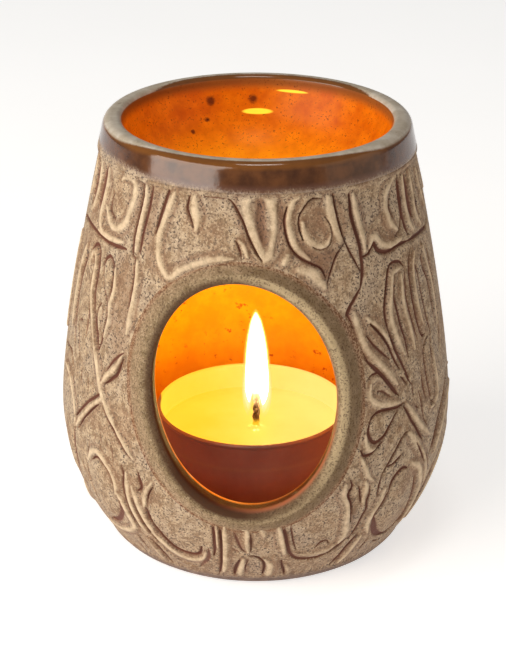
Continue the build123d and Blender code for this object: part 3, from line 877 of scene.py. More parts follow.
walls = [
    carved_wall("carved_left", -90, 60, fine_step, carving),
    carved_wall("carved_middle", -30, 60, fine_step, carving),
    carved_wall("carved_right", 30, 60, fine_step, carving),
    carved_wall("carved_back_left", 180, 90, coarse_step, carving + back_carving, turn_back=True),
    carved_wall("carved_back_right", 90, 90, coarse_step, carving + back_carving, turn_back=True),
]

# %% [markdown]
# ## The foot
# The potter turns the burner upside down and trims a ring with a recess inside it, so that only the
# ring touches the table. It stays bare, because glaze there would stick to the kiln shelf.

# %% The foot ring
foot_inner = 23.3 * mm
foot_flat_end = 25.3 * mm
recess_corner = 1.5 * mm
fine_rise = 0.25 * mm
edge_centre = (foot_radius - foot_edge + fine_rise, foot_edge)
overlap = 0.5 * mm
hidden_radius, hidden_top = 24 * mm, 5 * mm
steps_around = 192
foot_outline = [(0, foot_recess)]
foot_outline += arc((foot_inner - recess_corner, foot_recess - recess_corner), recess_corner, 90, 0, 8)
foot_outline += [(foot_inner, 0), (foot_flat_end, 0)]
foot_outline += arc(edge_centre, foot_edge, -90, -12, 8)
foot_outline += up_side(foot_edge, shell_low, fine_rise)
foot_outline += [(radius_at(shell_low) - shell_inset - overlap, shell_low)]
foot_outline += [(hidden_radius, hidden_top), (0, hidden_top)]
foot_ring = turned("foot_ring", foot_outline, steps_around)
print("foot ring", count(foot_ring), "triangles")

# %% [markdown]
# ## The rim and the oil dish
# Rim and dish are one skin with the body on the real burner, so the glaze runs over the rim and down
# into the bowl without a joint. The outline goes from the dish's underside out to the wall, up over
# the rim's broad rounded crest, down the bore and into the bowl. Crest and bowl are drawn as arcs,
# with their angles in degrees.

# %% The rim and the dish
band_low = shell_high
rim_outer_round = 1.9 * mm
rim_inner_round = 1.2 * mm
rim_bore = 25.7 * mm
dish_top = 83.8 * mm
dish_radius = 24.9 * mm
dish_fall = 15.8 * mm
dish_wall = 4.0 * mm
band_back, band_bottom = 2.4 * mm, 79.6 * mm
band_edge = 0.8 * mm
under_angles, bowl_angles = (89, 14), (12, 89)
bore_side = [(25.62, 84.1), (25.45, 83.3), (25.16, 82.4), (24.8, 81.6)]
fine_steps_around = 256


def ellipse(radius, fall, start, end, steps):
    """(radius, height) points of the bowl, with angles in degrees from the bowl's edge down."""
    turns = np.radians(np.linspace(start, end, steps + 1))
    return [(radius * math.cos(t), dish_top - fall * math.sin(t)) for t in turns]


crest_angle = 13.1
crest_centre_height = body_height - rim_outer_round
crest_start = crest_centre_height + rim_outer_round * math.sin(crest_angle * degree)
crest_centre_radius = radius_at(crest_start) - rim_outer_round * math.cos(crest_angle * degree)
crest_centre = (crest_centre_radius, crest_centre_height)
inner_centre = (rim_bore + rim_inner_round, body_height - rim_inner_round)
rim_outline = [(0, dish_top - dish_fall - dish_wall)]
rim_outline += ellipse(dish_radius + dish_wall, dish_fall + dish_wall, *under_angles, 36)
rim_outline += [(radius_at(band_low) - band_back, band_bottom)]
rim_outline += [(radius_at(band_low) - band_edge, band_low)]
rim_outline += up_side(band_low, crest_start, fine_rise)
rim_outline += arc(crest_centre, rim_outer_round, crest_angle + 5, 90, 12)
rim_outline += arc(inner_centre, rim_inner_round, 90, 180, 10)
rim_outline += [(radius * mm, height * mm) for radius, height in bore_side]
rim_outline += ellipse(dish_radius, dish_fall, *bowl_angles, 56)
rim_outline += [(0, dish_top - dish_fall)]
glazed_rim = turned("glazed_rim", rim_outline, fine_steps_around)
print("rim and dish", count(glazed_rim), "triangles")

# %% [markdown]
# ## The chamber's lining
# Inside, the wall and the floor carry the same amber glaze as the dish. The flame lights it, painted
# flame light is added as a glow, and it is painted darker towards the floor as shade. That glow is
# what is seen through the window.

# %% The chamber lining
chamber_corner = 4.0 * mm
lining_inset = 2.6 * mm
lining_low = floor_top - 2.5 * mm
lining_high = 77.0 * mm
lining_step = 1.5 * mm
window_hidden_step, vent_hidden_step = 1.2 * mm, 0.5 * mm
corner_height = floor_top + chamber_corner
corner_radius = radius_at(corner_height) - wall - chamber_corner
lining_outline = [(0, floor_top), (0.5 * corner_radius, floor_top)]
lining_outline += arc((corner_radius, corner_height), chamber_corner, -90, 0, 12)
lining_outline += up_side(corner_height, lining_high, lining_step, wall)[1:]
lining_outline += up_side(lining_low, lining_high, lining_step, lining_inset)[::-1] + [(0, lining_low)]
chamber_lining = turned("chamber_lining", lining_outline, fine_steps_around)
cut_away(chamber_lining, window_cutter(window_hidden_step))
cut_away(chamber_lining, vent_cutter(vent_hidden_step))
print("lining", count(chamber_lining), "triangles")

# %% [markdown]
# ## The collar and the vent's lip
# The potter leaves a smooth raised collar round the window, because fingers and tealights rub there.
# Its inner edge is rolled over and runs back into the wall's thickness. The vent at the back only
# gets a wiped edge. Both sections are lists of steps out from the opening and depths, in mm.

# %% The collar
lip_round = 2.0 * mm
lip_height = 0.6 * mm
collar_narrowed = 0.32
collar_segments, vent_segments = 320, 96
outer_section = [
    (6.1, 1.4),
    (5.8, 0.8),
    (5.5, 0.5),
    (5.1, 0.4),
    (4.7, 0.24),
    (4.2, 0.02),
    (3.7, -0.2),
    (3.2, -0.4),
    (2.7, -0.53),
    (2.1, -0.59),
]
hidden_section = [(0, 2.2), (0, 3.0), (0, 3.6), (0.2, 4.1), (0.7, 4.3), (1.6, 4.3), (6.1, 3.0)]


def in_metres(section):
    """A section's (step out, depth) points from mm to metres."""
    return [(step * mm, depth * mm) for step, depth in section]


rolled_lip = arc((0, 0), lip_round, 80, 0, 9)
collar_section = in_metres(outer_section)
collar_section += [(lip_round - x, lip_round - lip_height - y) for x, y in rolled_lip]
collar_section += in_metres(hidden_section)
window_collar = band_on_wall(
    "window_collar",
    collar_section,
    window_half_width,
    window_half_height,
    window_middle,
    window_lean,
    -1,
    collar_segments,
    narrowed=collar_narrowed,
)
lip_section = [(2.2, 1.2), (1.5, 0.15), (1.0, -0.0), (0.5, 0.12), (0.15, 0.45), (0, 0.9), (0, 2.2)]
lip_section = in_metres(lip_section + [(0, 3.6), (0.4, 4.2), (1.4, 4.3), (2.2, 3.0)])
vent_size = (vent_radius, vent_radius)
vent_lip = band_on_wall("vent_lip", lip_section, *vent_size, vent_middle, 0, 1, vent_segments)
print("collar", count(window_collar), "and vent lip", count(vent_lip), "triangles")
for piece in (foot_ring, glazed_rim, chamber_lining, window_collar, vent_lip):
    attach(piece, "burner")
    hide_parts("ceramic_body")

# %% [markdown]
# ## The tealight
# A tealight is a pressed foil cup with a rolled lip, filled with wax round a braided wick. Half
# burned, its wax has melted into a pool that climbs a little where it touches the foil and the wick.
# The wick is drawn as a stack of rings, so it can be lobed, twisted and bent.

# %% Foil cup
tealight_x = (cup_low.x + cup_high.x) / 2
tealight_centre = (tealight_x, 0)
cup_mouth = (cup_high.x - cup_low.x) / 2 - 0.4 * mm
cup_base = cup_mouth - 0.55 * mm
cup_top = cup_high.z
foil = 0.3 * mm
cup_corner = 1.2 * mm
bead = 0.4 * mm
under_bead = 1.4 * mm
ring_radii = (6.0 * mm, 11.0 * mm, 15.5 * mm)
ring_half_width, ring_rise = 0.5 * mm, 0.25 * mm
side_steps = [(0.06, 3), (0.22, 3.25), (0.28, 8)]

cup_outline = [(0, floor_top)]
for radius in ring_radii:
    cup_outline += [(radius - ring_half_width, floor_top), (radius, floor_top + ring_rise)]
    cup_outline += [(radius + ring_half_width, floor_top)]
cup_outline += arc((cup_base - cup_corner, floor_top + cup_corner), cup_corner, -90, 0, 8)
cup_outline += [(cup_base + out * mm, floor_top + up * mm) for out, up in side_steps]
cup_outline += [(cup_mouth - 0.1 * mm, cup_top - under_bead)]
cup_outline += arc((cup_mouth, cup_top - bead), bead, -70, 180, 12)
cup_outline += [(cup_mouth - foil - 0.14 * mm, cup_top - under_bead)]
cup_outline += [(cup_base - foil, floor_top + cup_corner + foil)]
cup_outline += arc((cup_base - foil - cup_corner, floor_top + foil + cup_corner), cup_corner, 0, -90, 6)
cup_outline += [(0, floor_top + foil)]
foil_cup = turned("foil_cup", cup_outline, steps_around, centre=tealight_centre)
print("cup", round(2 * cup_mouth / mm, 1), "mm inside its lip,", count(foil_cup), "triangles")

# %% Wax and its pool
wax_top = wax_high.z
wax_bottom = floor_top + 0.4 * mm
wax_radius = cup_mouth - foil - 0.22 * mm
wax_corner = 1 * mm
pool_sink = 0.4 * mm
foil_climb, foil_climb_width = 0.55 * mm, 0.7 * mm
wick_climb, wick_climb_width = 0.9 * mm, 0.45 * mm
wick_x = tealight_x + 0.8 * mm
wick_radius = 0.75 * mm
pool_points, wax_steps_around = 72, 160


def pool_height(radius):
    """Height of the wax, a shallow pool that climbs at the foil."""
    return wax_top - pool_sink + foil_climb * math.exp((radius - wax_radius) / foil_climb_width)


wax_outline = [(0, wax_bottom), (wax_radius - wax_corner, wax_bottom)]
wax_outline += [(wax_radius - 0.3 * mm, floor_top + 1.4 * mm)]
wax_outline += [(r * mm, pool_height(r * mm)) for r in np.linspace(wax_radius / mm, 0, pool_points)]
wax_pool = turned("wax_pool", wax_outline, wax_steps_around, centre=tealight_centre)
for vert in wax_pool.data.vertices:
    gap = max(0, math.hypot(vert.co.x - wick_x, vert.co.y) - wick_radius)
    if vert.co.z > wax_top - 1 * mm:
        vert.co.z += wick_climb * math.exp(-gap / wick_climb_width)
print("wax", count(wax_pool), "triangles")

# %% Braided wick
wick_top = wax_top + 8.3 * mm
wick_bottom = floor_top + 3.2 * mm
strand_radius, strand_swell = 0.68 * mm, 0.1 * mm
twist = 1.1
knob_swell, knob_place, knob_length = 0.2 * mm, 0.9, 0.08
crumb_swell = 0.05 * mm
wick_bend = 0.3 * mm
wick_segments, wick_rings = 36, 150


def wick_place(vert, turn, share):
    """Puts a point of the wick: three twisted strands, bent at the top into a burnt knob."""
    height = wick_bottom + share * (wick_top - wick_bottom)
    above = max(0, height - wax_top) / (wick_top - wax_top)
    strands = strand_radius + strand_swell * math.cos(3 * (turn - height / mm * twist))
    knob = knob_swell * math.exp(-(((above - knob_place) / knob_length) ** 2))
    crumbs = crumb_swell * math.sin(9 * turn + 40 * above) * above
    end = math.sqrt(max(0.02, 1 - max(0, (above - 0.86) / 0.14) ** 2))
    radius = (strands * (1 - 0.12 * above) + knob + crumbs) * end
    bend = wick_bend * above**2
    vert.co = (wick_x + bend + radius * math.cos(turn), radius * math.sin(turn), height)


bm = bmesh.new()
grow_rings(bm, wick_segments, np.linspace(0, 1, wick_rings), wick_place)
bmesh.ops.holes_fill(bm, edges=open_edges(bm), sides=0)
braided_wick = finish_smooth("braided_wick", bm)
print("wick", round((wick_top - wax_top) / mm, 1), "mm above the wax,", count(braided_wick), "triangles")

# %% [markdown]
# ## The flame
# A candle flame is glowing soot: white where it is hottest, yellow at its edge, and almost clear at
# its foot round the wick. It is drawn as nested drops, from one list of heights and half widths, as
# shares of the whole. The inmost one shines brightly enough to light the chamber, and the thin ones
# round it only soften the edge.

# %% Flame
flame_foot = 20.1 * mm
flame_tip = 45.5 * mm
flame_widest = 2.6 * mm
flame_lean, flame_shift = 0.4 * mm, 0.2 * mm
flame_rings, flame_steps_around = 60, 48
flame_shape = [
    (0.0, 0.0),
    (0.03, 0.3),
    (0.07, 0.56),
    (0.13, 0.82),
    (0.2, 0.96),
    (0.28, 1.0),
    (0.35, 1.0),
    (0.49, 0.955),
    (0.63, 0.865),
    (0.76, 0.71),
    (0.83, 0.58),
    (0.9, 0.44),
    (0.94, 0.31),
    (0.98, 0.14),
    (1.0, 0.0),
]


def flame_shell(name, spread, low, high):
    """A drop from one share of the flame's height to another, as wide as spread."""
    shares, widths = np.array(flame_shape).T
    outline = []
    for share in np.linspace(0, 1, flame_rings):
        height = flame_foot + (low + (high - low) * share) * (flame_tip - flame_foot)
        width = np.interp(share, shares, widths)
        outline.append((width * flame_widest * spread, height))
    outline[0] = (0, outline[0][1])
    outline[-1] = (0, outline[-1][1])
    shell = turned(name, outline, flame_steps_around, centre=(wick_x + flame_shift, 0))
    for vert in shell.data.vertices:
        above = (vert.co.z - flame_foot) / (flame_tip - flame_foot)
        vert.co.x -= flame_lean * above**2
    return shell


flame_core = flame_shell("flame_core", 0.9, 0.12, 0.98)
flame_layers = [
    flame_shell("flame_body", 0.95, 0.09, 0.985),
    flame_shell("flame_veil", 1.03, 0.05, 0.995),
    flame_shell("flame_edge", 1.14, 0.0, 1.01),
]
for piece in (foil_cup, wax_pool, braided_wick, flame_core, *flame_layers):
    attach(piece, "tealight")
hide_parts("tealight_cup")
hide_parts("candle_wax")
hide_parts("wick")
print("flame", round((flame_tip - flame_foot) / mm, 1), "mm tall")

# %% [markdown]
# ## Finishes
# Every finish is worked out from the place on the piece, so nothing depends on a picture. Two small
# classes keep the node graphs readable: a Wire is one output with ordinary maths on it, and a Finish
# is a material that makes nodes and joins them.

# %% Wires and finishes


def colour(red, green, blue):
    """A colour from its 0 to 255 values on screen, as the linear values that light works in."""
    shares = [value / 255 for value in (red, green, blue)]
    return (*[s / 12.92 if s <= 0.04045 else ((s + 0.055) / 1.055) ** 2.4 for s in shares], 1)


def operator(operation, before=False):
    """A method that puts a wire and another value, or the value and the wire, through a maths node."""

    def joined(wire, other):
        values = (other, wire) if before else (wire, other)
        return wire.math(operation, *values)

    return joined


class Wire:
    """One output of a finish's nodes, with maths on it."""

    def __init__(self, finish, socket):
        self.finish = finish
        self.socket = socket

    def math(self, operation, *values):
        """One maths node with its values, which are wires or numbers."""
        return self.finish.node("ShaderNodeMath", {"operation": operation}, dict(enumerate(values)))

    def magnitude(self):
        """The wire without its sign."""
        return self.math("ABSOLUTE", self)

    __add__ = operator("ADD")
    __radd__ = operator("ADD")
    __sub__ = operator("SUBTRACT")
    __rsub__ = operator("SUBTRACT", before=True)
    __mul__ = operator("MULTIPLY")
    __truediv__ = operator("DIVIDE")
    __pow__ = operator("POWER")

    def rise(self, low, high):
        """0 below low, 1 above high and a soft step between."""
        ends = {"Value": self, "From Min": low, "From Max": high}
        return self.finish.node("ShaderNodeMapRange", {"interpolation_type": "SMOOTHSTEP"}, ends)

    def between(self, low, high, soft):
        """1 between low and high, falling softly to 0 outside them."""
        return self.rise(low - soft, low) * (1 - self.rise(high, high + soft))


class Finish:
    """One procedural material."""

    def __init__(self, name):
        self.material = bpy.data.materials.new(name)
        self.material.use_nodes = True
        self.tree = self.material.node_tree
        self.tree.nodes.clear()
        self.place = self.node("ShaderNodeTexCoord", output="Object")
        split = {"Vector": self.place}
        axes = [self.node("ShaderNodeSeparateXYZ", values=split, output=axis) for axis in "XYZ"]
        self.x, self.y, self.z = axes

    def node(self, kind, settings=None, values=None, output=0):
        """A node with its settings, then its inputs from values or wires, and one of its outputs."""
        made = self.tree.nodes.new(kind)
        for key, value in (settings or {}).items():
            setattr(made, key, value)
        for key, value in (values or {}).items():
            if isinstance(key, str):
                socket = next(s for s in made.inputs if s.name == key and s.enabled)
            else:
                socket = made.inputs[key]
            if isinstance(value, Wire):
                self.tree.links.new(value.socket, socket)
            else:
                socket.default_value = value
        if not made.outputs:
            return None
        if isinstance(output, str):
            return Wire(self, next(s for s in made.outputs if s.name == output and s.enabled))
        return Wire(self, made.outputs[output])

    def attribute(self, name):
        """A float stored on the mesh's points."""
        return self.node("ShaderNodeAttribute", {"attribute_name": name}, output="Fac")

    def noise(self, size, detail=3.0, rough=0.55, shift=(0, 0, 0), stretch=(1, 1, 1)):
        """Noise from 0 to 1, with blots about size across."""
        moves = {"Vector": self.place, "Location": shift, "Scale": stretch}
        moved = self.node("ShaderNodeMapping", values=moves)
        values = {"Vector": moved, "Scale": 1 / size, "Detail": detail, "Roughness": rough}
        return self.node("ShaderNodeTexNoise", values=values)

    def specks(self, size, share):
        """Round specks, up to size across, in a share of the cells."""
        values = {"Vector": self.place, "Scale": 1 / size}
        gap = self.node("ShaderNodeTexVoronoi", values=values, output="Distance")
        cell = self.node("ShaderNodeTexVoronoi", values=values, output="Color")
        chance = self.node("ShaderNodeSeparateColor", values={"Color": cell})
        return (1 - gap.rise(0.08, 0.3)) * (1 - chance.rise(share, share + 0.03))

    def mix(self, share, low, high):
        """Two colours mixed: low where share is 0 and high where it is 1."""
        settings = {"data_type": "RGBA", "clamp_factor": True}
        return self.node("ShaderNodeMix", settings, {"Factor": share, "A": low, "B": high}, output="Result")

    def scaled(self, shade, factor):
        """A colour made brighter or darker by a factor."""
        scaled = {"Vector": shade if isinstance(shade, Wire) else shade[:3], "Scale": factor}
        return self.node("ShaderNodeVectorMath", {"operation": "SCALE"}, scaled, output="Vector")

    def bump(self, height, distance, strength=1.0):
        """A normal from a height that runs from 0 to 1 over a distance."""
        values = {"Height": height, "Distance": distance, "Strength": strength}
        return self.node("ShaderNodeBump", values=values)

    def surface(self, **values):
        """The main surface, from named inputs such as Base_Color."""
        inputs = {name.replace("_", " "): value for name, value in values.items()}
        self.output(self.node("ShaderNodeBsdfPrincipled", values=inputs))

    def output(self, shader):
        """Joins a shader to the material's output."""
        self.node("ShaderNodeOutputMaterial", values={"Surface": shader})


def dress(finish, *pieces_to_dress):
    """Puts a finish on pieces."""
    for piece in pieces_to_dress:
        piece.data.materials.clear()
        piece.data.materials.append(finish.material)


# %% [markdown]
# ## Carved stoneware
# The clay is a sandy beige body with dark specks. Iron oxide was brushed into the carving and wiped
# off again, so it stays in the grooves and thins out over the panels, and the ridges are the
# palest. The firing mottles it all. Each blot, fleck and speck is a noise of its own size, in mm,
# and its rise() picks how much of the noise shows.

# %% Stoneware
ridge_clay = colour(226, 200, 164)
panel_clay = colour(194, 166, 130)
grey_clay = colour(170, 150, 128)
worn_clay = colour(138, 110, 80)
stained_and_shaded_clay = colour(122, 82, 54)
grit_brown = colour(70, 48, 36)
oxide = colour(122, 66, 40)
deep_oxide = colour(98, 50, 28)
glaze_fringe = colour(92, 60, 46)
glaze_low, glaze_full = 79.9 * mm, 81.7 * mm


def clay_shade(f):
    """The clay's colour. A piece without carving has no grooves or ridges, and so only the ground."""
    groove = f.attribute("groove")
    crest = f.attribute("ridge")
    tone = f.attribute("tone")
    blots = f.noise(7 * mm, detail=4.0)
    mottle = f.noise(1.6 * mm, detail=5.0, rough=0.65)
    pepper = f.noise(0.42 * mm, detail=2.0, rough=0.6, shift=(0.4, 0.1, 0.2))
    salt = f.noise(0.4 * mm, detail=2.0, rough=0.6, shift=(0.1, 0.7, 0.3))
    flat = 1 - crest.rise(0.1, 0.7)
    ground = f.mix(mottle.rise(0.38, 0.64), worn_clay, panel_clay)
    ground = f.mix((blots * 0.7 + mottle * 0.5).rise(0.5, 0.75) * 0.6, ground, grey_clay)
    ground = f.mix((1 - blots).rise(0.52, 0.66) * 0.4, ground, stained_and_shaded_clay)
    ground = f.mix(tone * (0.4 + mottle * 0.8), ground, stained_and_shaded_clay)
    # Towards the bottom the ground is painted darker: painted shade near the floor.
    ground = f.mix((1 - f.z.rise(3 * mm, 24 * mm)) * (0.1 + blots * 0.5), ground, stained_and_shaded_clay)
    halo = groove.rise(0.05, 0.6) * (0.5 + mottle * 0.6)
    shade = f.mix(halo * 0.6, ground, oxide)
    wiped = crest.rise(0.3, 0.95) * (0.1 + mottle * 0.85)
    shade = f.mix(wiped, shade, ridge_clay)
    shade = f.mix(salt.rise(0.54, 0.66) * (1 - tone) * 0.4, shade, ridge_clay)
    clusters = (mottle * 0.7 + blots * 0.5).rise(0.42, 0.72) * 0.7 + 0.3
    shade = f.mix(pepper.rise(0.53, 0.61) * (0.1 + flat * 0.85) * clusters, shade, grit_brown)
    return f.mix((groove + (mottle - 0.5) * 0.35).rise(0.45, 0.85), shade, deep_oxide)


def glaze_edge(f):
    """How much of the rim's dark glaze covers a place: it fades out in a speckled fringe."""
    cloud = f.noise(9 * mm, detail=3.0)
    fleck = f.noise(0.5 * mm, detail=3.0, rough=0.65)
    left = 1 - f.x.rise(-27 * mm, -8 * mm)
    line = f.z + (cloud - 0.5) * mm + (fleck - 0.5) * 1.3 * mm - left * 0.9 * mm
    return line.rise(glaze_low, glaze_full)


def clay_relief(f):
    """The grit that can be felt on the fired clay."""
    grit = f.noise(0.45 * mm, detail=3.0, rough=0.65)
    mottle = f.noise(1.6 * mm, detail=5.0, rough=0.65)
    return f.bump(grit * 0.7 + mottle * 0.8, 0.2 * mm)


def stoneware_finish():
    """The carved wall: pale ridges, mottled panels and dark oxide in the grooves."""
    f = Finish("carved_stoneware")
    mottle = f.noise(1.8 * mm, detail=4.0)
    # The band at the foot is darker: bare clay, and partly painted shade where the wall meets the floor.
    foot = 1 - (f.z + (mottle - 0.5) * 1.5 * mm).rise(1.6 * mm, 3.6 * mm)
    shade = f.mix(foot * 0.8, clay_shade(f), colour(104, 80, 70))
    shade = f.mix(glaze_edge(f), shade, glaze_fringe)
    f.surface(Base_Color=shade, Roughness=0.62 + mottle * 0.2, Normal=clay_relief(f))
    return f


dress(stoneware_finish(), *walls)

# %% Bare foot


def foot_finish():
    """The trimmed foot: bare clay, greyer than the wall."""
    f = Finish("bare_foot")
    mottle = f.noise(1.8 * mm, detail=5.0)
    shade = f.mix(mottle.rise(0.35, 0.7), colour(96, 74, 64), colour(134, 108, 92))
    shade = f.mix(f.specks(1.1 * mm, 0.2), shade, deep_oxide)
    f.surface(Base_Color=shade, Roughness=0.75 + mottle * 0.1, Normal=f.bump(mottle, 0.12 * mm))
    return f


dress(foot_finish(), foot_ring)

# %% Collar


def collar_finish():
    """The wiped collar: speckled clay, a dark lip, painted light and shade on the roll, and painted flame
    light inside.
    """
    f = Finish("collar_clay")
    depth = f.attribute("depth")
    out = f.attribute("step_out")
    mottle = f.noise(1.8 * mm, detail=5.0, rough=0.65)
    grain = f.noise(0.4 * mm, detail=2.0, rough=0.6)
    pepper = f.noise(0.36 * mm, detail=2.0, rough=0.6, shift=(0.4, 0.1, 0.2))
    inner = f.mix(mottle.rise(0.3, 0.7), colour(118, 98, 70), colour(146, 124, 94))
    outside = f.mix(mottle.rise(0.3, 0.7), colour(132, 108, 80), colour(168, 142, 112))
    shade = f.mix((out + (mottle - 0.5)).rise(1.8, 3.8), inner, outside)
    foot_line = (out + (mottle - 0.5) * 0.8).between(4.9, 5.4, 0.8)
    shade = f.mix(grain.rise(0.52, 0.64) * 0.3, shade, colour(200, 178, 146))
    shade = f.mix((out + (mottle - 0.5) * 1.6).rise(3.9, 5.2), shade, clay_shade(f))
    shade = f.mix(foot_line * (0.2 + pepper.rise(0.4, 0.6) * 0.5), shade, oxide)
    inward = (2.2 - out).rise(0, 1.2) * (depth + 0.6) + (mottle - 0.5) * 0.4
    left = 1 - f.x.rise(-8 * mm, 8 * mm)
    low_side = 1 - f.z.rise(20 * mm, 34 * mm)
    # Painted highlight on the collar's roll, except on the left and low sides, away from the key light.
    painted_roll_highlight = (out + (mottle - 0.5) * 0.6).between(1.2, 2.0, 0.7) * (1 - left) * (1 - low_side * 0.6)
    shade = f.mix(painted_roll_highlight * 0.6, shade, colour(206, 182, 142))
    # Painted shade on the roll's outer slope, strongest on the right, away from the key light.
    painted_roll_shade = (out + (mottle - 0.5) * 0.8).between(3.0, 4.0, 0.9) * (0.85 - left * 0.75)
    shade = f.mix(painted_roll_shade * (0.3 + grain * 0.6), shade, colour(96, 74, 48))
    # The lip is darker on the left and low sides: iron where the glaze thins, and painted shade away from
    # the key light.
    lip = (1 - (out + (mottle - 0.5) * 0.5).rise(0.9, 2.3)) * (left * 0.75 + low_side * 0.65)
    shade = f.mix(lip, shade, colour(76, 50, 32))
    shade = f.mix(pepper.rise(0.52, 0.62) * 0.6, shade, grit_brown)
    # Inside the opening: painted light on the right and painted shade on the left, and darker deeper in.
    shade = f.mix(inward.rise(0.7, 1.4), shade, f.mix(left, colour(146, 98, 72), colour(62, 34, 22)))
    shade = f.mix(inward.rise(1.6, 2.6), shade, colour(62, 28, 14))
    # Painted flame light on the glaze deep inside the opening, strongest on the left and low sides.
    glow = inward.rise(3.4, 4.1) * (0.7 + low_side * 0.3) * (0.3 + left * 0.7)
    gloss = 0.7 - inward.rise(0.6, 1.4) * 0.25
    f.surface(
        Base_Color=shade,
        Roughness=gloss,
        Normal=f.bump(grain + mottle, 0.06 * mm),
        Specular_IOR_Level=0.12,
        Emission_Color=f.scaled(colour(255, 124, 16), glow),
        Emission_Strength=1.0,
    )
    return f


dress(collar_finish(), window_collar)

# %% [markdown]
# ## Amber glaze
# The glaze is a glossy iron amber. Where it is thick, on the band under the rim, it is nearly brown;
# where it breaks over the crest it thins to beige, widened at the sides by a painted reflection, and in
# the bowl it is bright orange, with painted flame light from below and two painted highlights. The
# same glaze lines the chamber.

# %% Glazed rim and dish


def rim_finish():
    """The rim: bare clay low down, then dark glaze, thinning over the crest to a pale skin, widened by a
    painted reflection at the sides.
    """
    f = Finish("amber_rim")
    radius = (f.x * f.x + f.y * f.y) ** 0.5
    facing = f.y / radius
    mottle = f.noise(3.0 * mm, detail=4.0)
    fine = f.noise(0.6 * mm, detail=4.0, rough=0.7)
    band = f.mix(mottle.rise(0.3, 0.7), colour(66, 36, 16), colour(98, 58, 28))
    band = f.mix(f.z.rise(84.4 * mm, 85.4 * mm) * 0.6, band, colour(132, 80, 24))
    glazed = glaze_edge(f)
    fringe = f.mix(f.z.rise(81.2 * mm, 82.4 * mm), glaze_fringe, band)
    shade = f.mix(glazed, clay_shade(f), fringe)
    # The pale crest: glaze thinned over the rim, widened at the sides and set back at the back by a painted
    # reflection.
    side = facing.rise(-0.95, -0.45)
    back = facing.rise(0.4, 0.85)
    inner = (radius - back * 1.4 * mm + (fine - 0.5) * 0.6 * mm).rise(25.2 * mm, 25.6 * mm)
    outer = 1 - (radius - side * 1.3 * mm + (fine - 0.5) * 0.3 * mm).rise(27.8 * mm, 28.2 * mm)
    crest = f.z.rise(84.9 * mm, 85.5 * mm) * inner * outer
    crest_skin_and_reflection = f.mix(mottle.rise(0.35, 0.7), colour(186, 172, 150), colour(214, 204, 188))
    shade = f.mix(crest * (0.75 + fine * 0.4), shade, crest_skin_and_reflection)
    f.surface(
        Base_Color=shade,
        Roughness=0.06 + (1 - glazed) * 0.55 + crest * 0.2 + mottle * 0.04,
        Normal=f.bump(mottle * 0.7 + fine * 0.3, 0.05 * mm),
        Specular_IOR_Level=0.65,
    )
    return f


dress(rim_finish(), glazed_rim)

# %% The bowl
iron_spots = [
    (-10.7, 22.0, 81.6, 1.3),
    (-11.4, 20.2, 78.1, 0.7),
    (-14.0, 17.1, 76.5, 0.6),
    (-2.4, 24.2, 81.6, 1.3),
]
# Painted highlights in the bowl, as x, z, half length and half height in mm.
painted_highlights = [(-1.45, 79.1, 3.3, 0.6), (5.5, 83.1, 3.4, 0.3)]
bowl_edge, bowl_low = rim_bore + 0.15 * mm, 68 * mm
# Strength of the painted flame light in the bowl.
bowl_glow = 0.52


def bowl_finish():
    """The bowl: amber with painted flame light from below, brown at its upper edge, with iron spots.

    Iron spots are given as x, y, z and size in mm, and painted highlights as x, z, half length and
    half height.
    """
    f = Finish("amber_bowl")
    mottle = f.noise(3.0 * mm, detail=4.0)
    cloud = f.noise(9 * mm, detail=3.0)
    fine = f.noise(0.7 * mm, detail=4.0, rough=0.7)
    shade = f.mix((mottle * 0.5 + cloud * 0.5).rise(0.35, 0.65), colour(176, 76, 0), colour(206, 112, 2))
    upper = (f.z + (mottle - 0.5) * mm).rise(82.6 * mm, 84.8 * mm)
    shade = f.mix(upper * 0.8, shade, colour(120, 80, 42))
    deep = 1 - (f.z + (cloud - 0.5) * 5 * mm).rise(69 * mm, 80 * mm)
    dust = f.noise(0.45 * mm, detail=3.0, rough=0.65, shift=(0.2, 0.5, 0.1))
    specks = dust.rise(0.58, 0.66) * (mottle.rise(0.4, 0.6) * 0.6 + 0.2)
    for x, y, z, size in iron_spots:
        gap = ((f.x - x * mm) ** 2 + (f.y - y * mm) ** 2 + (f.z - z * mm) ** 2) ** 0.5
        specks = specks + (1 - (gap + (fine - 0.5) * mm).rise(size * 0.4 * mm, size * mm)) * 0.9
    shade = f.mix(specks, shade, colour(96, 36, 8))
    # Two painted highlights on the bowl's far side.
    glint = 0.0
    for x, z, half_length, half_height in painted_highlights:
        across, up = (f.x - x * mm) / (half_length * mm), (f.z - z * mm) / (half_height * mm)
        glint = glint + (1 - (across * across + up * up).rise(0.5, 1.1)) * f.y.rise(18 * mm, 20 * mm)
    # Painted flame light from below: brighter deeper in the bowl, less at its upper edge and on specks.
    glow = (1 - upper * 0.85) * (0.45 + deep * 0.75 + (mottle - 0.5) * 0.5) * (1 - specks * 0.9)
    lit = f.scaled(f.mix(deep, colour(255, 108, 0), colour(255, 156, 6)), glow * bowl_glow)
    f.surface(
        Base_Color=shade,
        Roughness=0.3 + mottle * 0.08,
        Normal=f.bump(mottle * 0.7 + fine * 0.3, 0.05 * mm),
        Specular_IOR_Level=0.12,
        Emission_Color=f.mix(glint, lit, colour(255, 226, 60)),
        Emission_Strength=1.0,
    )
    return f


glazed_rim.data.materials.append(bowl_finish().material)
for face in glazed_rim.data.polygons:
    middle = face.center
    face.material_index = int(math.hypot(middle.x, middle.y) < bowl_edge and middle.z > bowl_low)
print(len(iron_spots), "iron spots")

# %% Chamber glaze


